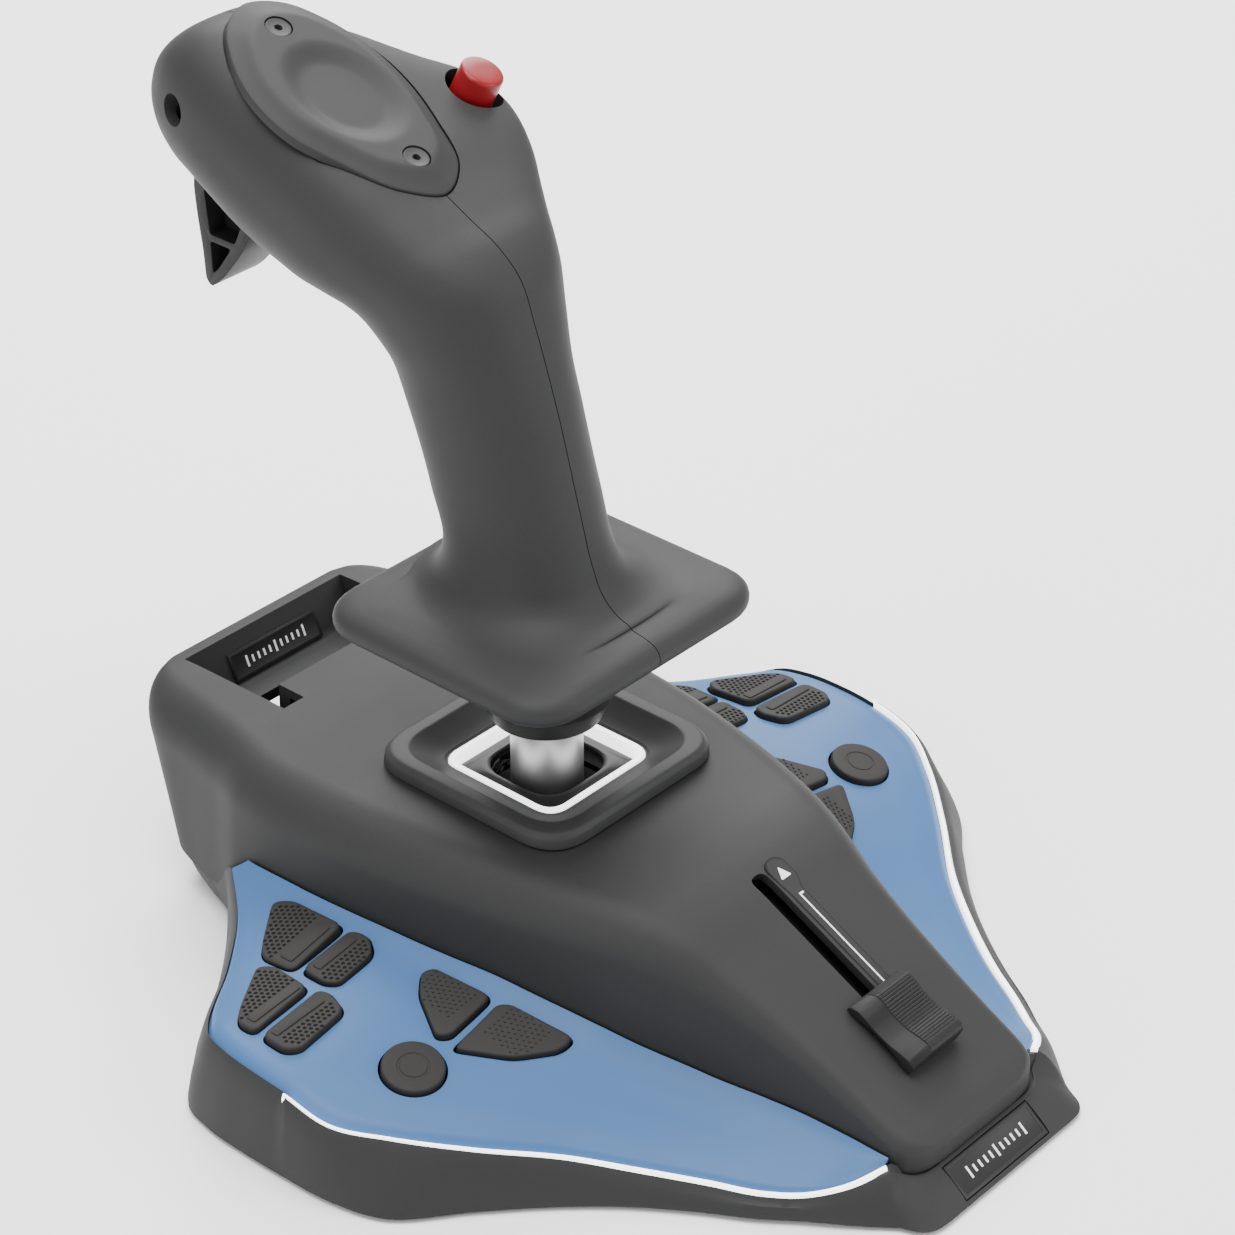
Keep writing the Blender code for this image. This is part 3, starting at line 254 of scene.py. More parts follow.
# Grip sections: rear or top point (y, z), front or underside point (y, z), half widths to the left
# and right, squareness of the rear half on each side, and how far the right side tapers
GRIP = (
    ((-26.0, 97.0), (33.0, 97.0), 26.5, 26.5, 3.2, 3.2, 0.0),
    ((-22.2, 98.3), (30.0, 98.3), 23.2, 23.2, 2.8, 2.8, 0.0),
    ((-19.2, 100.4), (27.6, 100.4), 20.6, 20.6, 2.4, 2.4, 0.0),
    ((-16.9, 103.2), (26.2, 103.0), 19.0, 19.0, 2.3, 2.3, 0.0),
    ((-15.3, 106.8), (25.6, 106.3), 18.0, 18.0, 2.3, 2.3, 0.0),
    ((-10.8, 121.7), (29.2, 120.5), 17.4, 17.4, 2.3, 2.3, 0.0),
    ((-5.0, 142.6), (36.2, 140.0), 17.6, 17.6, 2.3, 2.3, 0.0),
    ((-2.0, 152.0), (39.8, 149.2), 18.3, 18.3, 2.3, 2.3, 0.0),
    ((2.0, 163.5), (43.4, 153.8), 20.0, 21.0, 2.4, 2.4, 0.0),
    ((6.6, 174.2), (47.6, 156.4), 21.3, 24.0, 2.5, 2.6, 0.05),
    ((13.0, 179.6), (50.6, 157.4), 22.2, 27.2, 2.6, 3.0, 0.1),
    ((21.4, 183.6), (53.5, 157.8), 23.0, 32.5, 2.8, 3.6, 0.2),
    ((29.8, 187.8), (57.0, 158.0), 23.5, 38.0, 3.0, 4.4, 0.3),
    ((38.4, 192.4), (61.5, 158.4), 24.0, 42.2, 3.2, 5.0, 0.38),
    ((47.0, 196.2), (67.5, 160.0), 24.0, 44.0, 3.4, 5.2, 0.42),
    ((56.0, 200.2), (74.0, 161.8), 24.0, 41.5, 3.4, 5.0, 0.4),
    ((65.0, 204.2), (80.5, 164.6), 24.0, 33.5, 3.4, 4.4, 0.3),
    ((74.0, 208.2), (87.0, 168.2), 23.8, 26.5, 3.2, 3.8, 0.15),
    ((83.0, 211.5), (94.0, 171.8), 23.0, 20.0, 3.0, 3.2, 0.0),
    ((91.0, 212.8), (100.5, 174.6), 21.4, 17.8, 2.9, 2.9, 0.0),
    ((98.5, 211.0), (106.6, 180.0), 18.6, 16.0, 2.9, 2.8, 0.0),
    ((104.6, 207.0), (110.2, 187.0), 14.6, 13.4, 2.8, 2.6, 0.0),
    ((108.2, 202.4), (111.6, 193.0), 9.4, 8.6, 2.5, 2.4, 0.0),
    ((109.9, 200.2), (112.0, 195.2), 5.2, 4.8, 2.2, 2.2, 0.0),
)
# Hand rest, as rounded squares: half size, corner, z
PLATE = (
    (32.0, 9.0, 88.0), (35.6, 10.2, 88.1), (37.6, 11.2, 88.9), (38.7, 11.8, 90.2), (39.0, 12.0, 91.8),
    (38.7, 11.8, 93.2), (37.6, 11.4, 94.5), (35.8, 10.8, 95.3), (33.0, 10.2, 95.9), (29.6, 10.0, 96.4),
)
PLATE_SQUASH, PLATE_BACK = 0.925, 1.0
GRIP_WALL = 2.8
GRIP_POINTS = 144
SEAM = 0.13
HEAD_TOP = (0.0, 60.0, 201.6)
HEAD_ANGLE = math.radians(24.0)
TRIGGER_PIVOT = (0.0, 95.6, 178.6)
THUMB_CENTRE = (32.0, 49.5, 196.4)
THUMB_AXIS = (0.12, -0.41, 0.904)
NOSE_SCREW = (-18.6, 92.0, 195.5)
NOSE_AXIS = (-1.0, 0.25, 0.1)
COVER_SCREWS = {"rear": -24.0, "front": 22.6}
# Profiles of the head's wells and of the turned pieces in them: radius, height
THUMB_WELL = ((5.8, -10.4), (5.8, -6.4), (7.35, -6.0), (7.35, 2.0), (7.5, 12.0))
NOSE_WELL = ((3.4, -3.2), (3.4, -0.4), (3.8, 1.2), (3.8, 9.0))
THUMB_PROFILE = (
    (5.3, -7.0), (5.3, 4.2), (5.22, 4.55), (5.0, 4.82), (4.7, 4.95), (4.3, 5.0), (2.0, 5.02),
)
CAP_SCREW = (
    (3.12, 0.62), (3.12, 1.85), (3.0, 2.0), (2.72, 2.02), (2.6, 1.96), (1.0, 1.96), (0.9, 1.0),
)
NOSE_PROFILE = ((2.9, -3.0), (2.9, -1.0), (2.6, -0.5), (1.9, -0.25), (0.8, -0.2))
# Leaf-shaped top cover on the head's top plane: along the slope, then across
LEAF = (
    (-34.5, 0.0), (-29.5, 9.0), (-17.0, 14.4), (-2.0, 17.8), (10.0, 17.6), (22.0, 14.2), (30.0, 9.0),
    (33.8, 0.0), (30.0, -8.6), (21.0, -15.6), (8.0, -20.4), (-4.0, -20.4), (-16.0, -15.8),
    (-29.0, -8.6),
)
LEAF_REACH = 22.0
# Its border, as scale of the outline and height, then the oval dish in the plateau
LEAF_RIM = (
    (1.0, -2.0), (1.0, -0.2), (0.996, 0.05), (0.985, 0.2), (0.95, 0.5), (0.9, 1.0), (0.85, 1.6),
    (0.815, 2.05), (0.79, 2.25), (0.77, 2.3),
)
DISH_DEPTH, DISH_WIDE, DISH_LONG = 1.5, 13.8, 17.6
TRIGGER_SIDE = (
    (89.8, 178.0), (86.4, 170.0), (85.0, 163.4), (87.4, 157.6), (91.6, 152.0), (96.4, 146.2),
    (100.2, 143.2), (102.0, 144.8), (102.4, 152.0), (103.8, 162.0), (104.4, 170.0), (101.4, 178.0),
    (98.4, 182.8), (93.0, 182.8),
)
TRIGGER_POCKETS = (
    ((88.4, 168.6), (88.0, 164.0), (91.2, 157.2), (99.6, 157.2), (100.8, 168.6)),
    ((92.6, 155.4), (97.4, 148.8), (99.4, 147.0), (99.6, 155.4)),
)
TRIGGER_SLOT = (
    (80.0, 140.0), (80.0, 168.0), (89.0, 184.8), (101.6, 184.8), (105.6, 178.0), (105.6, 140.0),
)

# Places an outline drawn in (y, z) so that it is extruded along X
SIDEWAYS = Matrix(((0, 0, 1, 0), (1, 0, 0, 0), (0, 1, 0, 0), (0, 0, 0, 1)))

# ---- Studio, in metres --------------------------------------------------------------------------

# Lights: place, width and power
STUDIO_LIGHTS = {
    "top_light": ((-0.1, 0.1, 1.5), 1.3, 40.0), "far_light": ((0.95, 0.85, 1.05), 1.1, 34.0),
    "left_light": ((-1.3, 0.1, 0.7), 0.8, 7.0), "front_light": ((0.7, -1.2, 0.75), 0.9, 12.0),
}
LIT_POINT = (0.0, 0.0, 0.08)
WORLD_STRENGTH = 0.75
FLOOR_SIZE = 6.0
CAMERA_PLACE = (-0.5230, -0.46941, 0.53312)
CAMERA_TOWARDS = (0.6356, 0.5621, -0.5292)
CAMERA_SHIFT = (0.0038, -0.001)


# ---- User settings ------------------------------------------------------------------------------


def colour_property(name, description, default):
    return bpy.props.FloatVectorProperty(
        name=name, description=description, subtype="COLOR", size=3, min=0.0, max=1.0, default=default
    )


class JoystickColours(bpy.types.PropertyGroup):
    charcoal: colour_property("Charcoal", "Shells of the grip and the base", (0.0245, 0.0246, 0.025))
    blue: colour_property("Blue", "Wing panels", (0.045, 0.11, 0.25))
    keys: colour_property("Keys", "Soft-touch keys of the wings", (0.0215, 0.0206, 0.02))
    black: colour_property("Black", "Collar, trigger, slider and gate", (0.012, 0.012, 0.0128))
    light: colour_property("Light guide", "Milky light guides", (0.9, 0.9, 0.9))
    red: colour_property("Red", "Thumb button", (0.2, 0.008, 0.011))
    floor: colour_property("Floor", "Pale studio floor", (0.92, 0.92, 0.92))


class JoystickFinish(bpy.types.PropertyGroup):
    grain_size: bpy.props.FloatProperty(
        name="Grain size", description="Spacing of the mould texture", default=0.00028, unit="LENGTH"
    )
    grain_depth: bpy.props.FloatProperty(
        name="Grain depth", description="Depth of the mould texture", default=0.00003, unit="LENGTH"
    )
    edge_radius: bpy.props.FloatProperty(
        name="Edge radius", description="Softening of cut edges, in millimetres", default=0.35
    )
    lens: bpy.props.FloatProperty(
        name="Lens", description="Focal length on a 36 mm wide sensor", default=105.83
    )


def colours():
    return bpy.context.scene.joystick_colours


def finish():
    return bpy.context.scene.joystick_finish


# ---- Curves and rings ---------------------------------------------------------------------------


def spline(keys, values, at, firm=False):
    """A Hermite curve through the values; a firm one never overshoots them."""
    keys, values = np.asarray(keys, float), np.asarray(values, float)
    flat = values.reshape(len(keys), -1)
    step = np.diff(keys)[:, None]
    rise = np.diff(flat, axis=0) / step
    slope = np.empty_like(flat)
    slope[0], slope[-1] = rise[0], rise[-1]
    if firm:
        product, total = rise[:-1] * rise[1:], rise[:-1] + rise[1:]
        slope[1:-1] = np.where(product > 0, 2 * product / np.where(total == 0, 1, total), 0)
    else:
        slope[1:-1] = (rise[:-1] * step[1:] + rise[1:] * step[:-1]) / (step[:-1] + step[1:])
    at = np.asarray(at, float)
    i = np.clip(np.searchsorted(keys, at, side="right") - 1, 0, len(keys) - 2)
    h = (keys[i + 1] - keys[i])[:, None]
    t = ((at - keys[i]) / (keys[i + 1] - keys[i]))[:, None]
    made = (
        (1 + 2 * t) * (1 - t) ** 2 * flat[i] + t * (1 - t) ** 2 * h * slope[i]
        + t * t * (3 - 2 * t) * flat[i + 1] + t * t * (t - 1) * h * slope[i + 1]
    )
    return made.reshape(len(at), *values.shape[1:])


def distances(rings):
    """How far along each ring is, by the mean distance between neighbours."""
    gaps = np.linalg.norm(np.diff(rings, axis=0), axis=-1).reshape(len(rings) - 1, -1).mean(axis=1)
    return np.concatenate([[0.0], np.cumsum(gaps)])


def rounded(points, radius, steps=8):
    """A flat outline with each of its corners turned into an arc."""
    outline = []
    count = len(points)
    for i, point in enumerate(points):
        corner = Vector(point)
        before = Vector(points[i - 1]) - corner
        after = Vector(points[(i + 1) % count]) - corner
        reach = min(radius, 0.45 * before.length, 0.45 * after.length)
        start = corner + before.normalized() * reach
        end = corner + after.normalized() * reach
        for k in range(steps + 1):
            t = k / steps
            outline.append(start * (1 - t) ** 2 + corner * 2 * t * (1 - t) + end * t ** 2)
    return outline


def circle(radius, sides):
    angles = [2 * math.pi * i / sides for i in range(sides)]
    return [(radius * math.cos(a), radius * math.sin(a)) for a in angles]


def square_ring(half, corner, z, steps=10):
    corners = [(half, half), (-half, half), (-half, -half), (half, -half)]
    return [Vector((p.x, p.y, z)) for p in rounded(corners, corner, steps)]


def facing(centre, axis, spin=(0.0, 1.0, 0.0)):
    """A matrix whose Z lies along axis and whose Y leans towards spin."""
    z = Vector(axis).normalized()
    x = Vector(spin).cross(z).normalized()
    return Matrix.Translation(Vector(centre)) @ Matrix((x, z.cross(x), z)).transposed().to_4x4()


def slope_matrix():
    """The front slope's frame: Y runs up it and Z stands off it."""
    return Matrix.Translation(SLOPE_TOP) @ Matrix.Rotation(SLOPE_ANGLE, 4, "X")


def head_matrix():
    """The head's top plane: Y runs up it and away from the user, and Z stands off it."""
    return Matrix.Translation(HEAD_TOP) @ Matrix.Rotation(HEAD_ANGLE, 4, "X")


def lip_matrix():
    return Matrix.Translation(LIP_MIDDLE) @ Matrix.Rotation(math.atan2(LIP_RISE, LIP_RUN), 4, "X")


# ---- Meshes -------------------------------------------------------------------------------------


def loft(rings, ends="cap"):
    """Skins a row of closed rings with the same number of points; ends are capped or joined round."""
    bm = bmesh.new()
    rows = [[bm.verts.new(point) for point in ring] for ring in rings]
    pairs = list(zip(rows, rows[1:]))
    if ends == "round":
        pairs.append((rows[-1], rows[0]))
    count = len(rows[0])
    for near, far in pairs:
        for i in range(count):
            j = (i + 1) % count
            bm.faces.new((near[i], near[j], far[j], far[i]))
    if ends == "cap":
        bm.faces.new(rows[0])
        bm.faces.new(rows[-1])
    bmesh.ops.recalc_face_normals(bm, faces=bm.faces)
    return bm


def prism(outline, low, high, matrix=None):
    bm = loft([[Vector((p[0], p[1], z)) for p in outline] for z in (low, high)])
    if matrix:
        bm.transform(matrix)
    return bm


def block(low, high, matrix=None):
    outline = [(low[0], low[1]), (high[0], low[1]), (high[0], high[1]), (low[0], high[1])]
    return prism(outline, low[2], high[2], matrix)


def rod(centre, axis, radius, low, high, sides=48):
    spin = (1.0, 0.0, 0.0) if abs(Vector(axis).normalized().y) > 0.9 else (0.0, 1.0, 0.0)
    return prism(circle(radius, sides), low, high, facing(centre, axis, spin))


def turned(profile, matrix=None, sides=96, ends="round"):
    """A turned piece: the profile lists radius and height."""
    rings = [[Vector((r * c, r * s, z)) for c, s in circle(1.0, sides)] for r, z in profile]
    bm = loft(rings, ends)
    if matrix:
        bm.transform(matrix)
    return bm


def mirrored(bm):
    """Turns a mesh of the left side into one of the right side."""
    bm.transform(Matrix.Scale(-1, 4, (1, 0, 0)))
    bmesh.ops.reverse_faces(bm, faces=bm.faces)
    return bm


def as_object(name, bm):
    mesh = bpy.data.meshes.new(name)
    bm.to_mesh(mesh)
    bm.free()
    obj = bpy.data.objects.new(name, mesh)
    bpy.context.scene.collection.objects.link(obj)
    return obj


def lifted(obj, keep=False):
    """The object's mesh as a bmesh; the object goes, unless it is kept."""
    bm = bmesh.new()
    bm.from_mesh(obj.data)
    if not keep:
        bpy.data.objects.remove(obj, do_unlink=True)
    return bm


def only(obj):
    """Makes obj the one selected and active object."""
    for other in bpy.context.selected_objects:
        other.select_set(False)
    obj.select_set(True)
    bpy.context.view_layer.objects.active = obj


def applied(obj, kind, **settings):
    """Adds a modifier with these settings and applies it."""
    modifier = obj.modifiers.new(kind.lower(), kind)
    for key, value in settings.items():
        setattr(modifier, key, value)
    only(obj)
    bpy.ops.object.modifier_apply(modifier=modifier.name)
    return obj


def joined(obj, operation, *tools):
    """Booleans each tool's mesh with obj, in order."""
    for bm in tools:
        tool = as_object("tool", bm)
        applied(obj, "BOOLEAN", operation=operation, solver="EXACT", object=tool)
        bpy.data.objects.remove(tool, do_unlink=True)
    return obj


def softened(obj, radius, angle=40.0, segments=2):
    """Rounds every edge sharper than angle."""
    return applied(
        obj, "BEVEL", width=radius, segments=segments, limit_method="ANGLE",
        angle_limit=math.radians(angle), use_clamp_overlap=True, harden_normals=False,
    )


def placed(obj, body, material, slot, *nodes, angle=35.0):
    """Moves a piece drawn in millimetres into the frame, finishes it and makes it ride on its body."""
    bm = lifted(obj, keep=True)
    bmesh.ops.remove_doubles(bm, verts=bm.verts, dist=0.0005)
    bm.to_mesh(obj.data)
    bm.free()
    obj.data.transform(TO_FRAME)
    obj.data.materials.clear()
    obj.data.materials.append(material)
    obj.data.shade_smooth()
    obj.data.set_sharp_from_angle(angle=math.radians(angle))
    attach(obj, body)
    if nodes:
        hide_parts(*nodes)
    return obj


# ---- Materials ----------------------------------------------------------------------------------


def wire(tree, source, output, target, socket):
    tree.links.new(source.outputs[output], target.inputs[socket])


def moulded_group():
    """Mould grain: fine noise for the normal, broad mottling for the colour and roughness."""
    if "moulded_surface" in bpy.data.node_groups:
        return bpy.data.node_groups["moulded_surface"]
    group = bpy.data.node_groups.new("moulded_surface", "ShaderNodeTree")
    sockets = (
        ("Colour", "INPUT", "Color"), ("Grain Scale", "INPUT", "Float"),
        ("Grain Depth", "INPUT", "Float"), ("Roughness", "INPUT", "Float"),
        ("Mottle", "INPUT", "Float"), ("Colour", "OUTPUT", "Color"),
        ("Roughness", "OUTPUT", "Float"), ("Normal", "OUTPUT", "Vector"),
    )
    for name, way, kind in sockets:
        group.interface.new_socket(name, in_out=way, socket_type=f"NodeSocket{kind}")
    nodes = group.nodes
    given, out = nodes.new("NodeGroupInput"), nodes.new("NodeGroupOutput")
    where = nodes.new("ShaderNodeTexCoord")
    grain = nodes.new("ShaderNodeTexNoise")
    grain.inputs["Detail"].default_value = 3.0
    broad = nodes.new("ShaderNodeTexNoise")
    broad.inputs["Scale"].default_value = 38.0
    broad.inputs["Detail"].default_value = 4.0
    wire(group, where, "Object", grain, "Vector")
    wire(group, where, "Object", broad, "Vector")
    wire(group, given, "Grain Scale", grain, "Scale")
    bump = nodes.new("ShaderNodeBump")
    wire(group, given, "Grain Depth", bump, "Distance")
    wire(group, grain, "Fac", bump, "Height")
    wire(group, bump, "Normal", out, "Normal")
    blend = nodes.new("ShaderNodeMath")  # broad noise and a little grain, centred on nought
    blend.operation = "MULTIPLY_ADD"
    blend.inputs[1].default_value = 0.35
    wire(group, grain, "Fac", blend, 0)
    wire(group, broad, "Fac", blend, 2)
    centred = nodes.new("ShaderNodeMath")
    centred.operation = "SUBTRACT"
    centred.inputs[1].default_value = 0.675
    wire(group, blend, 0, centred, 0)
    swing = nodes.new("ShaderNodeMath")
    swing.operation = "MULTIPLY"
    wire(group, centred, 0, swing, 0)
    wire(group, given, "Mottle", swing, 1)
    gain = nodes.new("ShaderNodeMath")
    gain.inputs[1].default_value = 1.0
    wire(group, swing, 0, gain, 0)
    scaled = nodes.new("ShaderNodeVectorMath")
    scaled.operation = "SCALE"
    wire(group, given, "Colour", scaled, 0)
    wire(group, gain, 0, scaled, "Scale")
    wire(group, scaled, 0, out, "Colour")
    rough = nodes.new("ShaderNodeMath")
    wire(group, given, "Roughness", rough, 0)
    wire(group, swing, 0, rough, 1)
    wire(group, rough, 0, out, "Roughness")
    return group


def moulded(name, colour, roughness, grain=1.0, depth=1.0, mottle=0.12, **plain):
    """A moulded plastic; plain values such as Coat Weight are set on the shader itself."""
    material = bpy.data.materials.get(name)
    if material:
        return material
    material = bpy.data.materials.new(name)
    material.use_nodes = True
    tree = material.node_tree
    shader = tree.nodes["Principled BSDF"]
    surface = tree.nodes.new("ShaderNodeGroup")
    surface.node_tree = moulded_group()
    surface.inputs["Colour"].default_value = (*colour, 1.0)
    surface.inputs["Grain Scale"].default_value = 1.0 / (finish().grain_size * grain)
    surface.inputs["Grain Depth"].default_value = finish().grain_depth * depth
    surface.inputs["Roughness"].default_value = roughness
    surface.inputs["Mottle"].default_value = mottle
    wire(tree, surface, "Colour", shader, "Base Color")
    wire(tree, surface, "Roughness", shader, "Roughness")
    wire(tree, surface, "Normal", shader, "Normal")
    plain.setdefault("Specular_IOR_Level", 0.16)
    for key, value in plain.items():
        shader.inputs[key.replace("_", " ")].default_value = value
    return material


def toned(colour, factor):
    return tuple(factor * c for c in colour)


def charcoal():
    return moulded("charcoal_plastic_fine_grain", colours().charcoal, 0.56, mottle=0.1)


def smooth_charcoal_painted_light():
    # Finer, shallower grain than the charcoal, and half again as light. The lightness is painted light: it
    # stands in for the light that the hand rest above keeps off the gimbal surround. The cap screws share
    # it.
    colour = toned(colours().charcoal, 1.5)
    return moulded("charcoal_plastic_smooth_painted_light", colour, 0.5, grain=0.8, depth=0.5, mottle=0.08)


def blue_satin():
    return moulded("blue_satin_plastic", colours().blue, 0.42, grain=0.9, depth=0.3, mottle=0.05)


def key_rubber():
    return moulded("soft_touch_key", colours().keys, 0.62, grain=0.7, depth=0.8, mottle=0.14)


def black_plastic():
    return moulded("black_nylon", colours().black, 0.46, grain=0.9, depth=0.8, mottle=0.15)


def label_black():
    return moulded("label_black", toned(colours().charcoal, 0.75), 0.38, depth=0.35, mottle=0.06)


def printed_white():
    return moulded("printed_white", (0.82, 0.82, 0.82), 0.5, depth=0.2, mottle=0.05)


def milky_light():
    glow = {"Emission_Color": (1.0, 1.0, 1.0, 1.0), "Emission_Strength": 2.6}
    return moulded("milky_light_guide", colours().light, 0.3, grain=2.0, depth=0.2, mottle=0.04, **glow)


def red_gloss():
    coat = {"Coat_Weight": 0.2, "Coat_Roughness": 0.12}
    return moulded("red_gloss_plastic", colours().red, 0.3, grain=2.0, depth=0.12, mottle=0.06, **coat)


def foot_rubber():
    return moulded("foot_rubber", (0.022, 0.022, 0.022), 0.85, grain=1.4, depth=1.5, mottle=0.2)


def metal(name, colour, roughness, stretch, depth):
    """A machined metal: tool marks are noise stretched round or along the piece."""
    material = bpy.data.materials.get(name)
    if material:
        return material
    material = bpy.data.materials.new(name)
    material.use_nodes = True
    tree = material.node_tree
    shader = tree.nodes["Principled BSDF"]
    shader.inputs["Metallic"].default_value = 1.0
    where = tree.nodes.new("ShaderNodeTexCoord")
    centre = tree.nodes.new("ShaderNodeMapping")
    centre.inputs["Location"].default_value = (-STICK.x, -STICK.y, 0.0)
    stretched = tree.nodes.new("ShaderNodeMapping")
    stretched.inputs["Scale"].default_value = stretch
    marks = tree.nodes.new("ShaderNodeTexNoise")
    marks.inputs["Scale"].default_value = 1.0
    marks.inputs["Detail"].default_value = 4.0
    wire(tree, where, "Object", centre, "Vector")
    wire(tree, centre, "Vector", stretched, "Vector")
    wire(tree, stretched, "Vector", marks, "Vector")
    tone = tree.nodes.new("ShaderNodeMix")
    tone.data_type = "RGBA"
    tone.inputs["A"].default_value = (*toned(colour, 0.75), 1.0)
    tone.inputs["B"].default_value = (*colour, 1.0)
    wire(tree, marks, "Fac", tone, "Factor")
    tree.links.new(tone.outputs["Result"], shader.inputs["Base Color"])
    rough = tree.nodes.new("ShaderNodeMapRange")
    rough.inputs["To Min"].default_value = roughness * 0.75
    rough.inputs["To Max"].default_value = roughness * 1.3
    wire(tree, marks, "Fac", rough, "Value")
    wire(tree, rough, "Result", shader, "Roughness")
    bump = tree.nodes.new("ShaderNodeBump")
    bump.inputs["Distance"].default_value = depth
    wire(tree, marks, "Fac", bump, "Height")
    wire(tree, bump, "Normal", shader, "Normal")
    return material


def satin_aluminium():
    return metal("satin_aluminium", (0.27, 0.267, 0.262), 0.42, (420.0, 420.0, 30.0), 0.000012)


def bright_steel():
    return metal("bright_steel", (0.55, 0.55, 0.56), 0.28, (900.0, 900.0, 900.0), 0.000006)


def dark_steel():
    return metal("dark_steel", (0.08, 0.08, 0.085), 0.5, (700.0, 700.0, 700.0), 0.000006)


def circuit_board():
    """Green solder mask with slightly lighter tracks under it."""
    material = bpy.data.materials.get("circuit_board")
    if material:
        return material
    material = moulded("circuit_board", (0.012, 0.09, 0.035), 0.35, depth=0.3, Coat_Weight=0.4)
    tree = material.node_tree
    tracks = tree.nodes.new("ShaderNodeTexBrick")
    tracks.inputs["Scale"].default_value = 260.0
    tracks.inputs["Color1"].default_value = (0.012, 0.09, 0.035, 1.0)
    tracks.inputs["Color2"].default_value = (0.014, 0.1, 0.04, 1.0)
    tracks.inputs["Mortar"].default_value = (0.03, 0.17, 0.07, 1.0)
    where = tree.nodes.new("ShaderNodeTexCoord")
    wire(tree, where, "Object", tracks, "Vector")
    surface = next(node for node in tree.nodes if node.type == "GROUP")
    wire(tree, tracks, "Color", surface, "Colour")
    return material


# ---- Base ---------------------------------------------------------------------------------------


def housing_rows():
    """The housing's sections at close steps, with closer ones where its ends turn in."""
    keys = [row[0] for row in HOUSING]
    at = np.unique(np.concatenate([
        np.linspace(keys[0], NOSE_END, 22), np.arange(NOSE_END, keys[-1], 1.6),
        np.linspace(TAIL_START, keys[-1], 8), [keys[-1]],
    ]))
    return spline(keys, [row[1:] for row in HOUSING], at, firm=True), at


def housing_half(y):
    """Half the housing's width at y, where the wing panels meet it."""
    return spline([row[0] for row in HOUSING], [row[2] for row in HOUSING], [y], firm=True)[0]


def housing_ring(y, lean, half, low, top, fillet, wall=0.0, drop=0.0):
    half, top, low = half - wall, top - wall, low - drop
    fillet = max(fillet - wall, 1.0)
    draft = 0.08 * (top - fillet - low)
    right = [(half, low), (half - 0.5 * draft, 0.5 * (low + top - fillet))]
    for k in range(FILLET_STEPS + 1):
        angle = math.pi / 2 * k / FILLET_STEPS
        right.append((half - draft - fillet * (1 - math.cos(angle)), top - fillet * (1 - math.sin(angle))))
    points = right + [(-x, z) for x, z in reversed(right)]
    return [Vector((x, y + lean * (z - 10.0), z)) for x, z in points]


def housing_shell():
    rows, at = housing_rows()
    outer = as_object("housing_shell", loft([housing_ring(y, *row) for y, row in zip(at, rows)]))
    inside = [(y, row) for y, row in zip(at, rows) if at[0] + 3.0 < y < at[-1] - 2.2]
    hollow = as_object(
        "hollow", loft([housing_ring(y, *row, wall=HOUSING_WALL, drop=12.0) for y, row in inside[::3]])
    )
    joined(hollow, "DIFFERENCE", block(*RECESS_WALL))
    joined(
        outer, "DIFFERENCE", lifted(hollow),
        prism(rounded(RECESS, 2.0, 4), -RECESS_HALF, RECESS_HALF, SIDEWAYS),
        block(*CABLE_SLOT), block(*CABLE_NOTCH), loft([square_ring(*row) for row in GIMBAL_WELL]),
        prism(rounded(SLIDER_SLOT, 2.2), -9.0, 6.0, slope_matrix()), block(*SOCKET_WINDOW),
    )
    softened(outer, finish().edge_radius, 38.0)
    return placed(outer, "base", charcoal(), "charcoal_plastic", "upper_housing", angle=40.0)


def wing_edge():
    """Fine rows along the left wing (junction y and z, outer edge, ground point) and the way out."""
    rows = np.array([(y, z, *edge, *ground) for (y, z, edge), ground in zip(WING, WING_GROUND)])
    keys = distances(rows[:, 2:5])
    first = keys[STRIP_FIRST]
    at = np.concatenate([
        np.linspace(0, first, REAR_STEPS + 1), np.linspace(first, keys[-1], STRIP_STEPS)[1:],
    ])
    fine = spline(keys, rows, at)
    turn = np.gradient(fine[:, 2:4], at, axis=0)
    away = np.stack([turn[:, 1], -turn[:, 0]], axis=1)
    away /= np.linalg.norm(away, axis=1)[:, None]
    return fine, away


def panel_ring(y, z, edge):
    """One section of the panel: sagging top, rolled outer lip, flat underside."""
    start, end = Vector((-(housing_half(y) + GAP + 0.1), y, z)), Vector(edge)
    width = min((end - start).xy.length / 40.0, 1.0)
    across = np.concatenate([[0.0, 0.006, 0.02], np.linspace(0.05, 0.9, 22), np.linspace(0.92, 1.0, 9)])
    sag = spline([row[0] for row in SAG], [row[1] for row in SAG], across)
    sag[0] -= 0.25
    top = [start.lerp(end, t) + Vector((0, 0, drop * width * 1.3)) for t, drop in zip(across, sag)]
    thick = PANEL_THICK * max(width, 0.35)
    under = [start.lerp(end, t) + Vector((0, 0, -thick)) for t in (0.99, 0.75, 0.5, 0.25, 0.0)]
    return top + under


def key_outline(name, grow=0.0, steps=6):
    """The key's outline about its middle, and the middle."""
    if KEYS[name] is None:
        x, y, radius = ROUND_KEY
        return [Vector(p) for p in circle(radius + grow, 64)], Vector((x, y))
    outline = rounded(KEYS[name], KEY_CORNER, steps)
    middle = sum(rounded(KEYS[name], KEY_CORNER, 2), Vector((0, 0))) / (3 * len(KEYS[name]))
    reach = sum((p - middle).length for p in outline) / len(outline)
    return [(p - middle) * (1 + grow / reach) for p in outline], middle


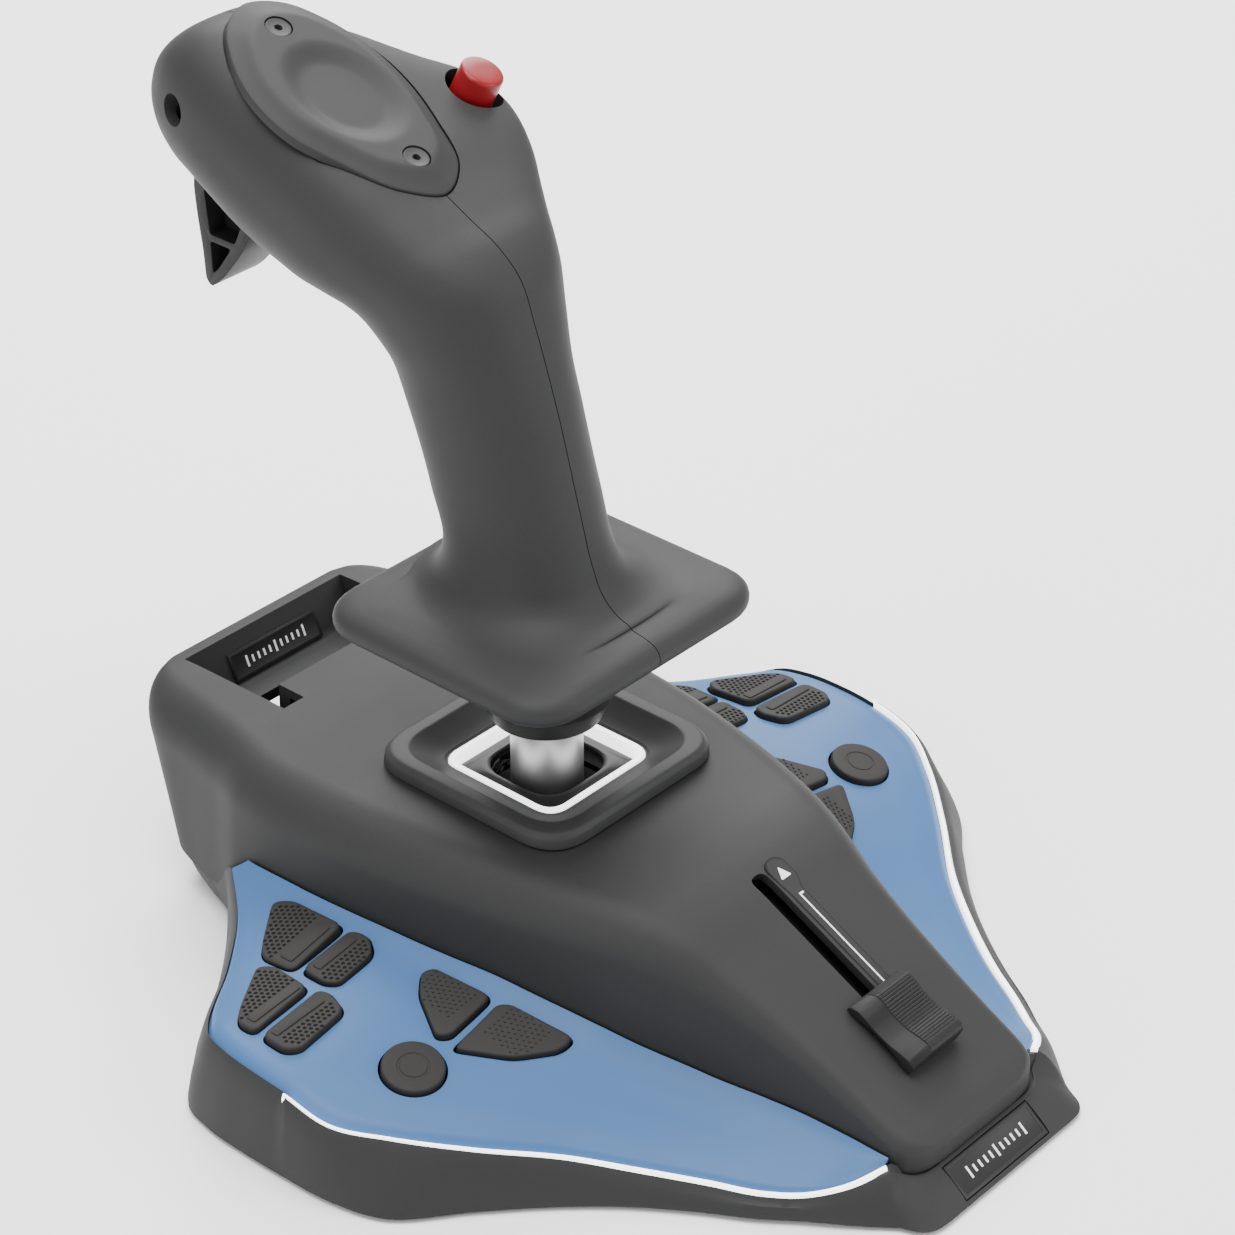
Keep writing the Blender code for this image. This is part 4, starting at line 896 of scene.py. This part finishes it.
def key_frame(wing, name):
    """The key's own frame on the panel's surface, its Z along the way that the key slides out."""
    joint = next(j for j in frame["joints"] if j["name"] == f"{wing}_{name}_press")
    normal = -Vector(joint["axis"]).normalized()
    side = -1 if wing == "left" else 1
    _, middle = key_outline(name)
    x, y = -side * middle.x, middle.y
    verts = frame["nodes"][f"{wing}_{name}_button"].data.vertices
    top = max((TO_MM @ v.co).dot(normal) for v in verts) - KEY_PROUD
    z = (top - normal.x * x - normal.y * y) / normal.z
    return facing((x, y, z), normal)


def wing_panels():
    fine, _ = wing_edge()
    bm = loft([panel_ring(row[0], row[1], row[2:5]) for row in fine])
    bmesh.ops.triangulate(bm, faces=[f for f in bm.faces if len(f.verts) > 4])
    right = as_object("wing_panel_right_skin", mirrored(bm))
    for name in KEYS:
        outline = [(-p.x, p.y) for p in key_outline(name, HOLE_GROW)[0]]
        joined(right, "DIFFERENCE", prism(outline, -9.0, 9.0, key_frame("right", name)))
    left = as_object("wing_panel_left_skin", mirrored(lifted(right, keep=True)))
    for wing, panel in (("left", left), ("right", right)):
        placed(panel, "base", blue_satin(), "blue_plastic", f"wing_panel_{wing}", angle=40.0)


def dimple_places(name, spacing=1.45, margin=1.0):
    """Staggered places of the texture on a key, inside both its patch and its outline."""
    (x0, y0), (x1, y1), _ = KEY_PATCH[name]
    outline, middle = key_outline(name)
    ring = [p * (1 - margin / KEY_REACH) for p in outline]
    places = []
    row, y = 0, y0
    while y <= y1:
        x = x0 + (row % 2) * spacing * 0.5
        while x <= x1:
            point = Vector((x, y)) - middle
            inside = False
            for a, b in zip(ring, ring[1:] + ring[:1]):
                if (a.y > point.y) != (b.y > point.y):
                    if point.x < (b.x - a.x) * (point.y - a.y) / (b.y - a.y) + a.x:
                        inside = not inside
            if inside:
                places.append(point)
            x += spacing
        y += spacing * 0.87
        row += 1
    return places


def studs(places, radius, low, high, tip):
    """One mesh of small cones or domes at these places."""
    bm = bmesh.new()
    for place in places:
        bottom = [bm.verts.new((place.x + u, place.y + v, low)) for u, v in circle(radius, 8)]
        top = [bm.verts.new((place.x + u, place.y + v, high)) for u, v in circle(tip, 8)]
        bm.faces.new(bottom[::-1])
        bm.faces.new(top)
        for i in range(8):
            j = (i + 1) % 8
            bm.faces.new((bottom[i], bottom[j], top[j], top[i]))
    return bm


def key_mesh(name):
    outline, middle = key_outline(name)
    edge = KEY_EDGE + (ROUND_GROOVE if name == "round" else ())
    key = as_object("key", loft([[Vector((p.x * k, p.y * k, z)) for p in outline] for k, z in edge]))
    if name in KEY_BAR:
        x, y, long, wide = KEY_BAR[name]
        at = Vector((x, y)) - middle
        quarters = ((1, 1), (-1, 1), (-1, -1), (1, -1))
        corners = [(at.x + u * long, at.y + v * wide) for u, v in quarters]
        base = rounded(corners, 0.7, 4)
        crown = [at + (p - at) * 0.94 for p in base]
        layers = ((base, -0.4), (base, 0.2), (crown, 0.32))
        bar = loft([[Vector((p.x, p.y, KEY_PROUD + up)) for p in ring] for ring, up in layers])
        joined(key, "UNION", bar)
    if name in KEY_PATCH:
        places = dimple_places(name)
        if KEY_PATCH[name][2] == "dots":
            joined(key, "UNION", studs(places, 0.42, KEY_PROUD - 0.3, KEY_PROUD + 0.25, 0.22))
        else:
            joined(key, "DIFFERENCE", studs(places, 0.3, KEY_PROUD - 0.45, KEY_PROUD + 0.2, 0.62))
    return lifted(key)


def wing_keys():
    for name in KEYS:
        left = key_mesh(name)
        right = mirrored(left.copy())
        for wing, bm in (("left", left), ("right", right)):
            bm.transform(key_frame(wing, name))
            body = f"{wing}_{name}_button"
            placed(as_object(f"{wing}_{name}_cap", bm), body, key_rubber(), "key_plastic", body, angle=28.0)


def strip_width(i, count):
    """The strip grows from its rear end to its full width towards the front."""
    return STRIP_WIDTH * (0.5 + 0.5 * min(1.0, (i - REAR_STEPS) / (0.6 * (count - REAR_STEPS))))


def skirt_rows():
    """Top edge and ground point of the left half, from the rear middle round to the front."""
    fine, away = wing_edge()
    rear = np.array([(*top, *ground) for top, ground in REAR_ROWS])
    keys = distances(rear[:, :3])
    rows = list(spline(keys, rear, np.linspace(0, keys[-1], REAR_FINE)))
    for i, (row, out) in enumerate(zip(fine, away)):
        shift = GAP + 0.1 if i <= REAR_STEPS else strip_width(i, len(fine)) + 2 * GAP
        top = (row[2] + out[0] * shift, row[3] + out[1] * shift, row[4])
        rows.append((*top, *row[5:7]))
    front = np.array([rows[-1], *[(*top, *ground) for top, ground in FRONT_ROWS]])
    keys = distances(front[:, 3:5])
    rows += list(spline(keys, front, np.linspace(0, keys[-1], FRONT_FINE)[1:], firm=True))
    return [(Vector(row[:3]), Vector((row[3], row[4], 0.0))) for row in rows]


def skirt_section(top, ground, inward, ledge):
    """Rounded foot, slightly bellied wall, rounded rim and the ledge that the panel sits over."""
    lift = Vector((0, 0, FLOOR_GAP))
    outward = -inward * 0.35
    points = [
        ground + inward * 1.5 + lift, ground + inward * 0.35 + lift, ground + inward * 0.1 + lift * 1.5,
    ]
    for t in (0.12, 0.3, 0.5, 0.7):
        belly = math.sin(math.pi * t) * 0.9
        points.append((ground + lift).lerp(top, t) + outward * belly)
    near = (top - ground).normalized() * min(1.6, 0.3 * (top - ground).length)
    return points + [
        top - near + outward * 0.5, top - near * 0.35 + inward * 0.05,
        top + inward * 0.16 - near * 0.06, top + inward * 0.24 + ledge * 0.15,
        top + inward * 0.26 + ledge, top + inward * 1.4 + ledge,
    ]


def skirt():
    half = skirt_rows()
    flip = Vector((-1, 1, 1))
    rows = half + [(top * flip, ground * flip) for top, ground in reversed(half)]
    rings = []
    for i, (top, ground) in enumerate(rows):
        before, after = rows[i - 1][1], rows[(i + 1) % len(rows)][1]
        along = (after - before).normalized()
        inward = Vector((-along.y, along.x, 0)) * SKIRT_WALL
        flat = i < REAR_FINE or i >= len(rows) - REAR_FINE or top.y < LEDGE_END
        ledge = Vector((0, 0, -FLAT_DROP if flat else -LEDGE_DROP))
        rings.append(skirt_section(top, ground, inward, ledge))
    shell = as_object("base_skirt", loft(rings, "round"))
    joined(shell, "DIFFERENCE", block(*LIP_SEAT, lip_matrix()))
    return placed(shell, "base", charcoal(), "charcoal_plastic", "lower_shell", angle=45.0)


def light_strips():
    fine, away = wing_edge()
    for side, wing in ((-1, "left"), (1, "right")):
        rings = []
        for i in range(REAR_STEPS, len(fine)):
            edge, out = Vector(fine[i][2:5]), Vector((*away[i], 0.0))
            wide = strip_width(i, len(fine))
            points = [
                edge + out * (GAP + wide * across) + Vector((0, 0, up)) for across, up in STRIP_SECTION
            ]
            rings.append([Vector((-side * p.x, p.y, p.z)) for p in points])
        strip = as_object(f"light_guide_{wing}", loft(rings))
        placed(strip, "base", milky_light(), "light_guide", f"light_strip_{wing}", angle=30.0)


def gimbal_surround():
    # The surround's charcoal is lightened with painted light, for the shade of the hand rest above it
    pieces = (
        ("gimbal_surround", BEZEL, smooth_charcoal_painted_light, "charcoal_plastic", "gimbal_bezel", 30.0),
        ("gimbal_light_guide", LIGHT_RING, milky_light, "light_guide", "light_ring", 30.0),
        ("gimbal_gate", GATE, label_black, "black_plastic", "gate_plate", 25.0),
    )
    for name, rows, finish_of, slot, node, angle in pieces:
        piece = as_object(name, loft([square_ring(*row) for row in rows], "round"))
        placed(piece, "base", finish_of(), slot, node, angle=angle)


# ---- Slider and labels --------------------------------------------------------------------------


def slider_section(x, ridge, drop, arch=2.6, ribs=20):
    """Side outline of the knob at x: a ribbed saddle on top, an arch beneath, lowered by drop."""
    crest = np.array(SLIDER_CREST)
    keys = distances(crest)
    at = np.linspace(keys[2], keys[-1], ribs * 8 + 1)
    fine = spline(keys, crest, at)
    slope = np.gradient(fine, at, axis=0)
    lift = ridge * np.minimum(1.0, 1.6 * np.abs(np.sin(np.arange(len(at)) / 8 * math.pi)))
    fine[:, 0] += lift * -slope[:, 1]
    fine[:, 1] += lift * slope[:, 0]
    points = [(18.6, 0.6), (18.4, 2.2), (18.0, 3.2)] + [(a, u) for u, a in fine]
    points += [(-0.7, 5.9), (-1.4, 5.2), (-1.6, 4.4), (-1.6, 0.6), (0.8, 0.6)]
    for k in range(9):
        angle = math.pi * (1 - k / 8)
        points.append((8.2 + 6.8 * math.cos(angle), 0.62 + arch * math.sin(angle)))
    return [Vector((x, a - SLIDER_REST, 0.6 + (u - 0.6) * (1 - drop))) for a, u in points]


def slider_knob():
    bm = loft([slider_section(*section) for section in SLIDER_SECTIONS])
    bm.transform(slope_matrix())
    knob = as_object("slider_cap", bm)
    stem = block((-2.0, 10.8 - SLIDER_REST, -6.2), (2.0, 17.0 - SLIDER_REST, 4.0), slope_matrix())
    joined(knob, "UNION", stem)
    placed(knob, "slider", black_plastic(), "black_plastic", "slider_knob", angle=30.0)


def on_slope(name, outline, low, high, material, slot):
    """A thin printed or inlaid piece on the front slope."""
    piece = as_object(name, prism(outline, low, high, slope_matrix()))
    return placed(piece, "base", material, slot)


def slider_scale():
    """The inlay beside the slot, with its printed line, end mark and rest mark."""
    inner = [(x - 0.3 if x > 5.5 else x + 0.3, y - 0.3 if y > 0 else y) for x, y in SLIDER_INLAY]
    side, tall = (8.9, 11.8), (-SLIDER_REST - 0.9, -SLIDER_REST - 0.5)
    rest = [(side[0], tall[0]), (side[1], tall[0]), (side[1], tall[1]), (side[0], tall[1])]
    groove = rounded(SLIDER_INLAY, 1.0, 4)
    on_slope("slider_inlay_groove", groove, -0.4, 0.05, black_plastic(), "black_plastic")
    on_slope("slider_inlay", rounded(inner, 0.9, 4), -0.4, 0.12, charcoal(), "charcoal_plastic")
    on_slope("slider_line", SLIDER_LINE, 0.0, 0.2, printed_white(), "light_guide")
    on_slope("slider_end_mark", rounded(SLIDER_MARK, 0.4, 3), 0.0, 0.2, printed_white(), "light_guide")
    on_slope("slider_rest_mark", rest, -0.2, 0.1, black_plastic(), "black_plastic")


def badge(name, half, matrix, node):
    """A blank label plate with a raised frame line and a row of plain ticks."""
    long, wide, low, high = half
    plate = as_object(name, block((-long, -wide, low), (long, wide, high), matrix))
    rim = block((-long + 0.9, -wide + 0.9, high - 0.12), (long - 0.9, wide - 0.9, high + 1.0), matrix)
    joined(plate, "DIFFERENCE", rim)
    softened(plate, 0.08, 38.0)
    placed(plate, "base", label_black(), "black_plastic", node, angle=30.0)
    ticks = bmesh.new()
    for i in range(-5, 6):
        tall = 1.5 if i % 5 == 0 else 0.9
        x = i * long * 0.13
        tick = block((x - 0.28, -tall, high - 0.12), (x + 0.28, tall, high + 0.02), matrix)
        mesh = bpy.data.meshes.new("tick")
        tick.to_mesh(mesh)
        tick.free()
        ticks.from_mesh(mesh)
    placed(as_object(name + "_ticks", ticks), "base", printed_white(), "light_guide")


def badges():
    badge("front_label", FRONT_LABEL, lip_matrix(), "front_badge")
    upright = Matrix.Rotation(math.pi / 2 - REAR_LABEL_LEAN, 4, "X")
    badge("rear_label", REAR_LABEL, Matrix.Translation(REAR_LABEL_PLACE) @ upright, "rear_badge")


# ---- Stick and grip -----------------------------------------------------------------------------


def stick_and_collar():
    tube = as_object("stick_tube", turned(SHAFT))
    placed(tube, "roll", satin_aluminium(), "satin_aluminium", "stick_shaft")
    collar = as_object("collar_ring", turned(COLLAR))
    placed(collar, "grip", black_plastic(), "black_plastic", "locking_collar", angle=30.0)
    turn = Matrix.Rotation(TAB_TURN, 4, "Z")
    lever = as_object("collar_tab", prism(rounded(TAB, 1.8, 6), TAB_LOW, TAB_HIGH, turn))
    joined(lever, "DIFFERENCE", block(*TAB_RELIEF, turn))
    softened(lever, 0.5, 40.0, 3)
    placed(lever, "grip", black_plastic(), "black_plastic", "release_tab", angle=30.0)


def grip_ring(rear, front, left, right, rear_power, right_power, taper, wall=0.0):
    """A squared oval from the rear or top point round to the front or underside, at even angles."""
    top, under = Vector((0, *rear)), Vector((0, *front))
    middle, half = (top + under) / 2, (top - under).length / 2 - wall
    up = (top - under).normalized()
    ring = []
    for i in range(GRIP_POINTS):
        angle = 2 * math.pi * i / GRIP_POINTS
        c, s = math.cos(angle), math.sin(angle)
        side = max((right if c > 0 else left) - wall, 1.0)
        power = 2.1 if s <= 0 else right_power if c > 0 else rear_power
        reach = ((abs(c) / side) ** power + (abs(s) / half) ** power) ** (-1 / power)
        x, v = c * reach, s * reach
        if c > 0:
            x *= 1 - taper * (1 - v / half) / 2
        ring.append(middle + Vector((x, 0, 0)) + up * v)
    return ring


def plate_ring(half, corner, z):
    """A rounded square with its points at even angles, so that it meets the grip's ovals."""
    flat = half - corner
    ring = []
    for i in range(GRIP_POINTS):
        angle = 2 * math.pi * i / GRIP_POINTS
        c, s = math.cos(angle), math.sin(angle)
        reach = half / max(abs(c), abs(s))
        u, v = abs(c) * reach, abs(s) * reach
        if u > flat and v > flat:
            dot = flat * (abs(c) + abs(s))
            reach = dot + math.sqrt(max(dot * dot - 2 * flat * flat + corner * corner, 0.0))
        ring.append(Vector((c * reach, -s * reach * PLATE_SQUASH + PLATE_BACK, z)))
    return ring


def fine_loft(rings, step=0.9):
    rings = np.array([[tuple(p) for p in ring] for ring in rings])
    keys = distances(rings)
    return loft(spline(keys, rings, np.linspace(0, keys[-1], int(keys[-1] / step))))


def leaf(scale=1.0, grow=0.0):
    """The cover's outline as one closed smooth curve."""
    points = np.array([(across, along) for along, across in LEAF])
    wrapped = np.concatenate([points[-3:], points, points[:4]])
    keys = distances(wrapped)
    at = np.linspace(keys[3], keys[3 + len(points)], 120, endpoint=False)
    return [Vector(p) * (scale + grow / LEAF_REACH) for p in spline(keys, wrapped, at)]


def grip_shells():
    rings = [plate_ring(*row) for row in PLATE] + [grip_ring(*row) for row in GRIP]
    solid = as_object("grip_solid", fine_loft(rings))
    hollow = fine_loft([grip_ring(*row, wall=GRIP_WALL) for row in GRIP[4:-4]], 2.5)
    joined(
        solid, "DIFFERENCE", hollow, rod((0, 0, 0), (0, 0, 1), 9.3, 80, 116),
        prism(leaf(grow=0.28), -2.4, 9.0, head_matrix()), prism(TRIGGER_SLOT, -7.6, 7.6, SIDEWAYS),
        turned(THUMB_WELL, facing(THUMB_CENTRE, THUMB_AXIS), 64, "cap"),
        turned(NOSE_WELL, facing(NOSE_SCREW, NOSE_AXIS), 48, "cap"),
    )
    for side, hand in ((-1, "left"), (1, "right")):
        bm = lifted(solid, keep=True)
        cut = bmesh.ops.bisect_plane(
            bm, geom=bm.verts[:] + bm.edges[:] + bm.faces[:], plane_co=(side * SEAM, 0, 0),
            plane_no=(side, 0, 0), clear_inner=True,
        )
        edges = [e for e in cut["geom_cut"] if isinstance(e, bmesh.types.BMEdge)]
        bmesh.ops.triangle_fill(bm, use_beauty=True, edges=edges)
        bmesh.ops.recalc_face_normals(bm, faces=bm.faces)
        shell = as_object(f"grip_skin_{hand}", bm)
        placed(shell, "grip", charcoal(), "charcoal_plastic", f"grip_{hand}_shell", angle=50.0)
    bpy.data.objects.remove(solid, do_unlink=True)


def top_cover():
    """The leaf cover: a chamfered border up to a plateau with an oval thumb dish."""
    rings = [[Vector((p.x, p.y, z)) for p in leaf(k)] for k, z in LEAF_RIM]
    for k in np.linspace(0.75, 0.03, 34):
        ring = []
        for p in leaf(k):
            away = math.hypot((p.x + 0.6) / DISH_WIDE, (p.y + 0.5) / DISH_LONG)
            near = max(0.0, min(1.0, (1.0 - away) / 0.42))
            ring.append(Vector((p.x, p.y, 2.32 - DISH_DEPTH * near * near * (3 - 2 * near))))
        rings.append(ring)
    bm = loft(rings)
    head = head_matrix()
    bm.transform(head)
    cover = as_object("head_cover", bm)
    up = head.to_3x3() @ Vector((0, 0, 1))
    for along in COVER_SCREWS.values():
        joined(cover, "DIFFERENCE", rod(head @ Vector((0, along, 0)), up, 3.35, 0.6, 6.0))
    placed(cover, "grip", charcoal(), "charcoal_plastic", "top_cover", angle=40.0)


def screw_heads():
    """Two flat cap screws in the cover and the bright screw in the nose."""
    up = head_matrix().to_3x3() @ Vector((0, 0, 1))
    for name, along in COVER_SCREWS.items():
        place = facing(head_matrix() @ Vector((0, along, 0)), up)
        head = as_object(f"cap_screw_{name}", turned(CAP_SCREW, place, 64, "cap"))
        joined(head, "DIFFERENCE", prism(circle(0.95, 6), 0.8, 3.0, place))
        placed(head, "grip", smooth_charcoal_painted_light(), "black_plastic", f"cover_screw_{name}", angle=30.0)
    nose = facing(NOSE_SCREW, NOSE_AXIS)
    screw = as_object("nose_screw_head", turned(NOSE_PROFILE, nose, 48, "cap"))
    placed(screw, "grip", bright_steel(), "steel", "nose_screw", angle=30.0)


def thumb_button():
    place = facing(THUMB_CENTRE, THUMB_AXIS)
    button = as_object("thumb_cap", turned(THUMB_PROFILE, place, 96, "cap"))
    placed(button, "thumb_button", red_gloss(), "red_plastic", "thumb_button", angle=40.0)


def trigger():
    lever = as_object("trigger_lever", prism(rounded(TRIGGER_SIDE, 3.0, 5), -7.0, 7.0, SIDEWAYS))
    tools = [rod(TRIGGER_PIVOT, (1, 0, 0), 1.8, -20, 20), rod(TRIGGER_PIVOT, (1, 0, 0), 3.6, 4.2, 20)]
    for pocket in TRIGGER_POCKETS:
        for x0, x1 in ((-9.0, -1.6), (1.6, 9.0)):
            tools.append(prism(rounded(pocket, 0.8, 3), x0, x1, SIDEWAYS))
    joined(lever, "DIFFERENCE", *tools)
    softened(lever, 0.5, 50.0, 3)
    placed(lever, "trigger", black_plastic(), "black_plastic", "trigger", angle=35.0)


# ---- Inner parts and stage ----------------------------------------------------------------------

CARRIED_OVER = {
    black_plastic: ("bottom_cover", "gimbal_cradle", "roll_hub", "slider_rail"),
    foot_rubber: ("foot_front_left", "foot_front_right", "foot_rear_left", "foot_rear_right"),
    circuit_board: ("button_board_left", "button_board_right", "main_board", "grip_board"),
    bright_steel: ("trigger_spring", "trigger_pin", "twist_spring", "usb_port"),
    dark_steel: (
        "pitch_axle_left", "pitch_axle_right", "roll_axle_front", "roll_axle_rear", "pitch_frame",
        "pitch_spring", "roll_spring",
    ),
}


def inner_finishes():
    for finish_of, names in CARRIED_OVER.items():
        for name in names:
            node = frame["nodes"][name]
            for slot in node.material_slots:
                slot.material = finish_of()


def stage_floor():
    bpy.ops.mesh.primitive_grid_add(
        x_subdivisions=20, y_subdivisions=20, size=FLOOR_SIZE, location=(0, 0, 0)
    )
    floor = bpy.context.active_object
    floor.name = "studio_floor"
    paint = moulded("studio_floor", colours().floor, 0.7, grain=40.0, depth=0.0, mottle=0.01)
    floor.data.materials.append(paint)


def area_light(name, place, size, power):
    data = bpy.data.lights.new(name, "AREA")
    data.shape = "DISK"
    data.size = size
    data.energy = power
    light = bpy.data.objects.new(name, data)
    light.location = place
    light.rotation_euler = (Vector(LIT_POINT) - Vector(place)).to_track_quat("-Z", "Y").to_euler()
    bpy.context.scene.collection.objects.link(light)


def stage_lights():
    for name, settings in STUDIO_LIGHTS.items():
        area_light(name, *settings)
    world = bpy.context.scene.world or bpy.data.worlds.new("studio")
    bpy.context.scene.world = world
    world.use_nodes = True
    background = world.node_tree.nodes["Background"]
    background.inputs["Color"].default_value = (1.0, 1.0, 1.0, 1.0)
    background.inputs["Strength"].default_value = WORLD_STRENGTH


def stage_camera():
    camera = bpy.data.objects.new("camera", bpy.data.cameras.new("camera"))
    bpy.context.scene.collection.objects.link(camera)
    camera.data.lens = finish().lens
    camera.data.sensor_width = 36.0
    camera.data.shift_x, camera.data.shift_y = CAMERA_SHIFT
    camera.location = CAMERA_PLACE
    camera.rotation_euler = Vector(CAMERA_TOWARDS).to_track_quat("-Z", "Y").to_euler()
    bpy.context.scene.camera = camera


# ---- Operators and panel ------------------------------------------------------------------------


class JOYSTICK_OT_housing(bpy.types.Operator):
    """Builds the upper housing"""
    bl_idname = "joystick.housing"
    bl_label = "Housing"

    def execute(self, context):
        housing_shell()
        return {"FINISHED"}


class JOYSTICK_OT_wings(bpy.types.Operator):
    """Builds both wing panels with their key holes"""
    bl_idname = "joystick.wings"
    bl_label = "Wing panels"

    def execute(self, context):
        wing_panels()
        return {"FINISHED"}


class JOYSTICK_OT_keys(bpy.types.Operator):
    """Builds the seven keys of each wing"""
    bl_idname = "joystick.keys"
    bl_label = "Wing keys"

    def execute(self, context):
        wing_keys()
        return {"FINISHED"}


class JOYSTICK_OT_skirt(bpy.types.Operator):
    """Builds the skirt of the base"""
    bl_idname = "joystick.skirt"
    bl_label = "Skirt"

    def execute(self, context):
        skirt()
        return {"FINISHED"}


class JOYSTICK_OT_lights(bpy.types.Operator):
    """Builds the light strips along the wings"""
    bl_idname = "joystick.light_strips"
    bl_label = "Light strips"

    def execute(self, context):
        light_strips()
        return {"FINISHED"}


class JOYSTICK_OT_gimbal(bpy.types.Operator):
    """Builds the surround, light ring and gate round the stick"""
    bl_idname = "joystick.gimbal"
    bl_label = "Gimbal surround"

    def execute(self, context):
        gimbal_surround()
        return {"FINISHED"}


class JOYSTICK_OT_slider(bpy.types.Operator):
    """Builds the slider knob and its printed scale"""
    bl_idname = "joystick.slider"
    bl_label = "Slider"

    def execute(self, context):
        slider_knob()
        slider_scale()
        return {"FINISHED"}


class JOYSTICK_OT_labels(bpy.types.Operator):
    """Builds the two label plates"""
    bl_idname = "joystick.labels"
    bl_label = "Label plates"

    def execute(self, context):
        badges()
        return {"FINISHED"}


class JOYSTICK_OT_stick(bpy.types.Operator):
    """Builds the stick tube, its collar and the release tab"""
    bl_idname = "joystick.stick"
    bl_label = "Stick and collar"

    def execute(self, context):
        stick_and_collar()
        return {"FINISHED"}


class JOYSTICK_OT_grip(bpy.types.Operator):
    """Builds the two grip shells"""
    bl_idname = "joystick.grip"
    bl_label = "Grip shells"

    def execute(self, context):
        grip_shells()
        return {"FINISHED"}


class JOYSTICK_OT_cover(bpy.types.Operator):
    """Builds the leaf cover and the screws of the head"""
    bl_idname = "joystick.cover"
    bl_label = "Head cover"

    def execute(self, context):
        top_cover()
        screw_heads()
        return {"FINISHED"}


class JOYSTICK_OT_thumb(bpy.types.Operator):
    """Builds the red thumb button"""
    bl_idname = "joystick.thumb"
    bl_label = "Thumb button"

    def execute(self, context):
        thumb_button()
        return {"FINISHED"}


class JOYSTICK_OT_trigger(bpy.types.Operator):
    """Builds the trigger"""
    bl_idname = "joystick.trigger"
    bl_label = "Trigger"

    def execute(self, context):
        trigger()
        return {"FINISHED"}


class JOYSTICK_OT_inner(bpy.types.Operator):
    """Gives the gimbal, boards, springs, feet and cover their finishes"""
    bl_idname = "joystick.inner"
    bl_label = "Inner parts"

    def execute(self, context):
        inner_finishes()
        return {"FINISHED"}


class JOYSTICK_OT_stage(bpy.types.Operator):
    """Adds the floor, the lights and the camera"""
    bl_idname = "joystick.stage"
    bl_label = "Stage"

    def execute(self, context):
        stage_floor()
        stage_lights()
        stage_camera()
        return {"FINISHED"}


OPERATORS = (
    JOYSTICK_OT_housing, JOYSTICK_OT_wings, JOYSTICK_OT_keys, JOYSTICK_OT_skirt, JOYSTICK_OT_lights,
    JOYSTICK_OT_gimbal, JOYSTICK_OT_slider, JOYSTICK_OT_labels, JOYSTICK_OT_stick, JOYSTICK_OT_grip,
    JOYSTICK_OT_cover, JOYSTICK_OT_thumb, JOYSTICK_OT_trigger, JOYSTICK_OT_inner, JOYSTICK_OT_stage,
)


class JOYSTICK_PT_panel(bpy.types.Panel):
    """Sidebar panel with the colours, the finish and a button for each piece"""
    bl_label = "Flight joystick"
    bl_idname = "JOYSTICK_PT_panel"
    bl_space_type = "VIEW_3D"
    bl_region_type = "UI"
    bl_category = "Joystick"

    def draw(self, context):
        for group in (context.scene.joystick_colours, context.scene.joystick_finish):
            for key in group.__annotations__:
                self.layout.prop(group, key)
        for operator in OPERATORS:
            self.layout.operator(operator.bl_idname)


CLASSES = (JoystickColours, JoystickFinish, *OPERATORS, JOYSTICK_PT_panel)


def register():
    for cls in CLASSES:
        bpy.utils.register_class(cls)
    bpy.types.Scene.joystick_colours = bpy.props.PointerProperty(type=JoystickColours)
    bpy.types.Scene.joystick_finish = bpy.props.PointerProperty(type=JoystickFinish)


def unregister():
    del bpy.types.Scene.joystick_finish
    del bpy.types.Scene.joystick_colours
    for cls in reversed(CLASSES):
        bpy.utils.unregister_class(cls)


def main():
    register()
    for operator in OPERATORS:
        family, name = operator.bl_idname.split(".")
        getattr(getattr(bpy.ops, family), name)()


if __name__ == "__main__":
    main()
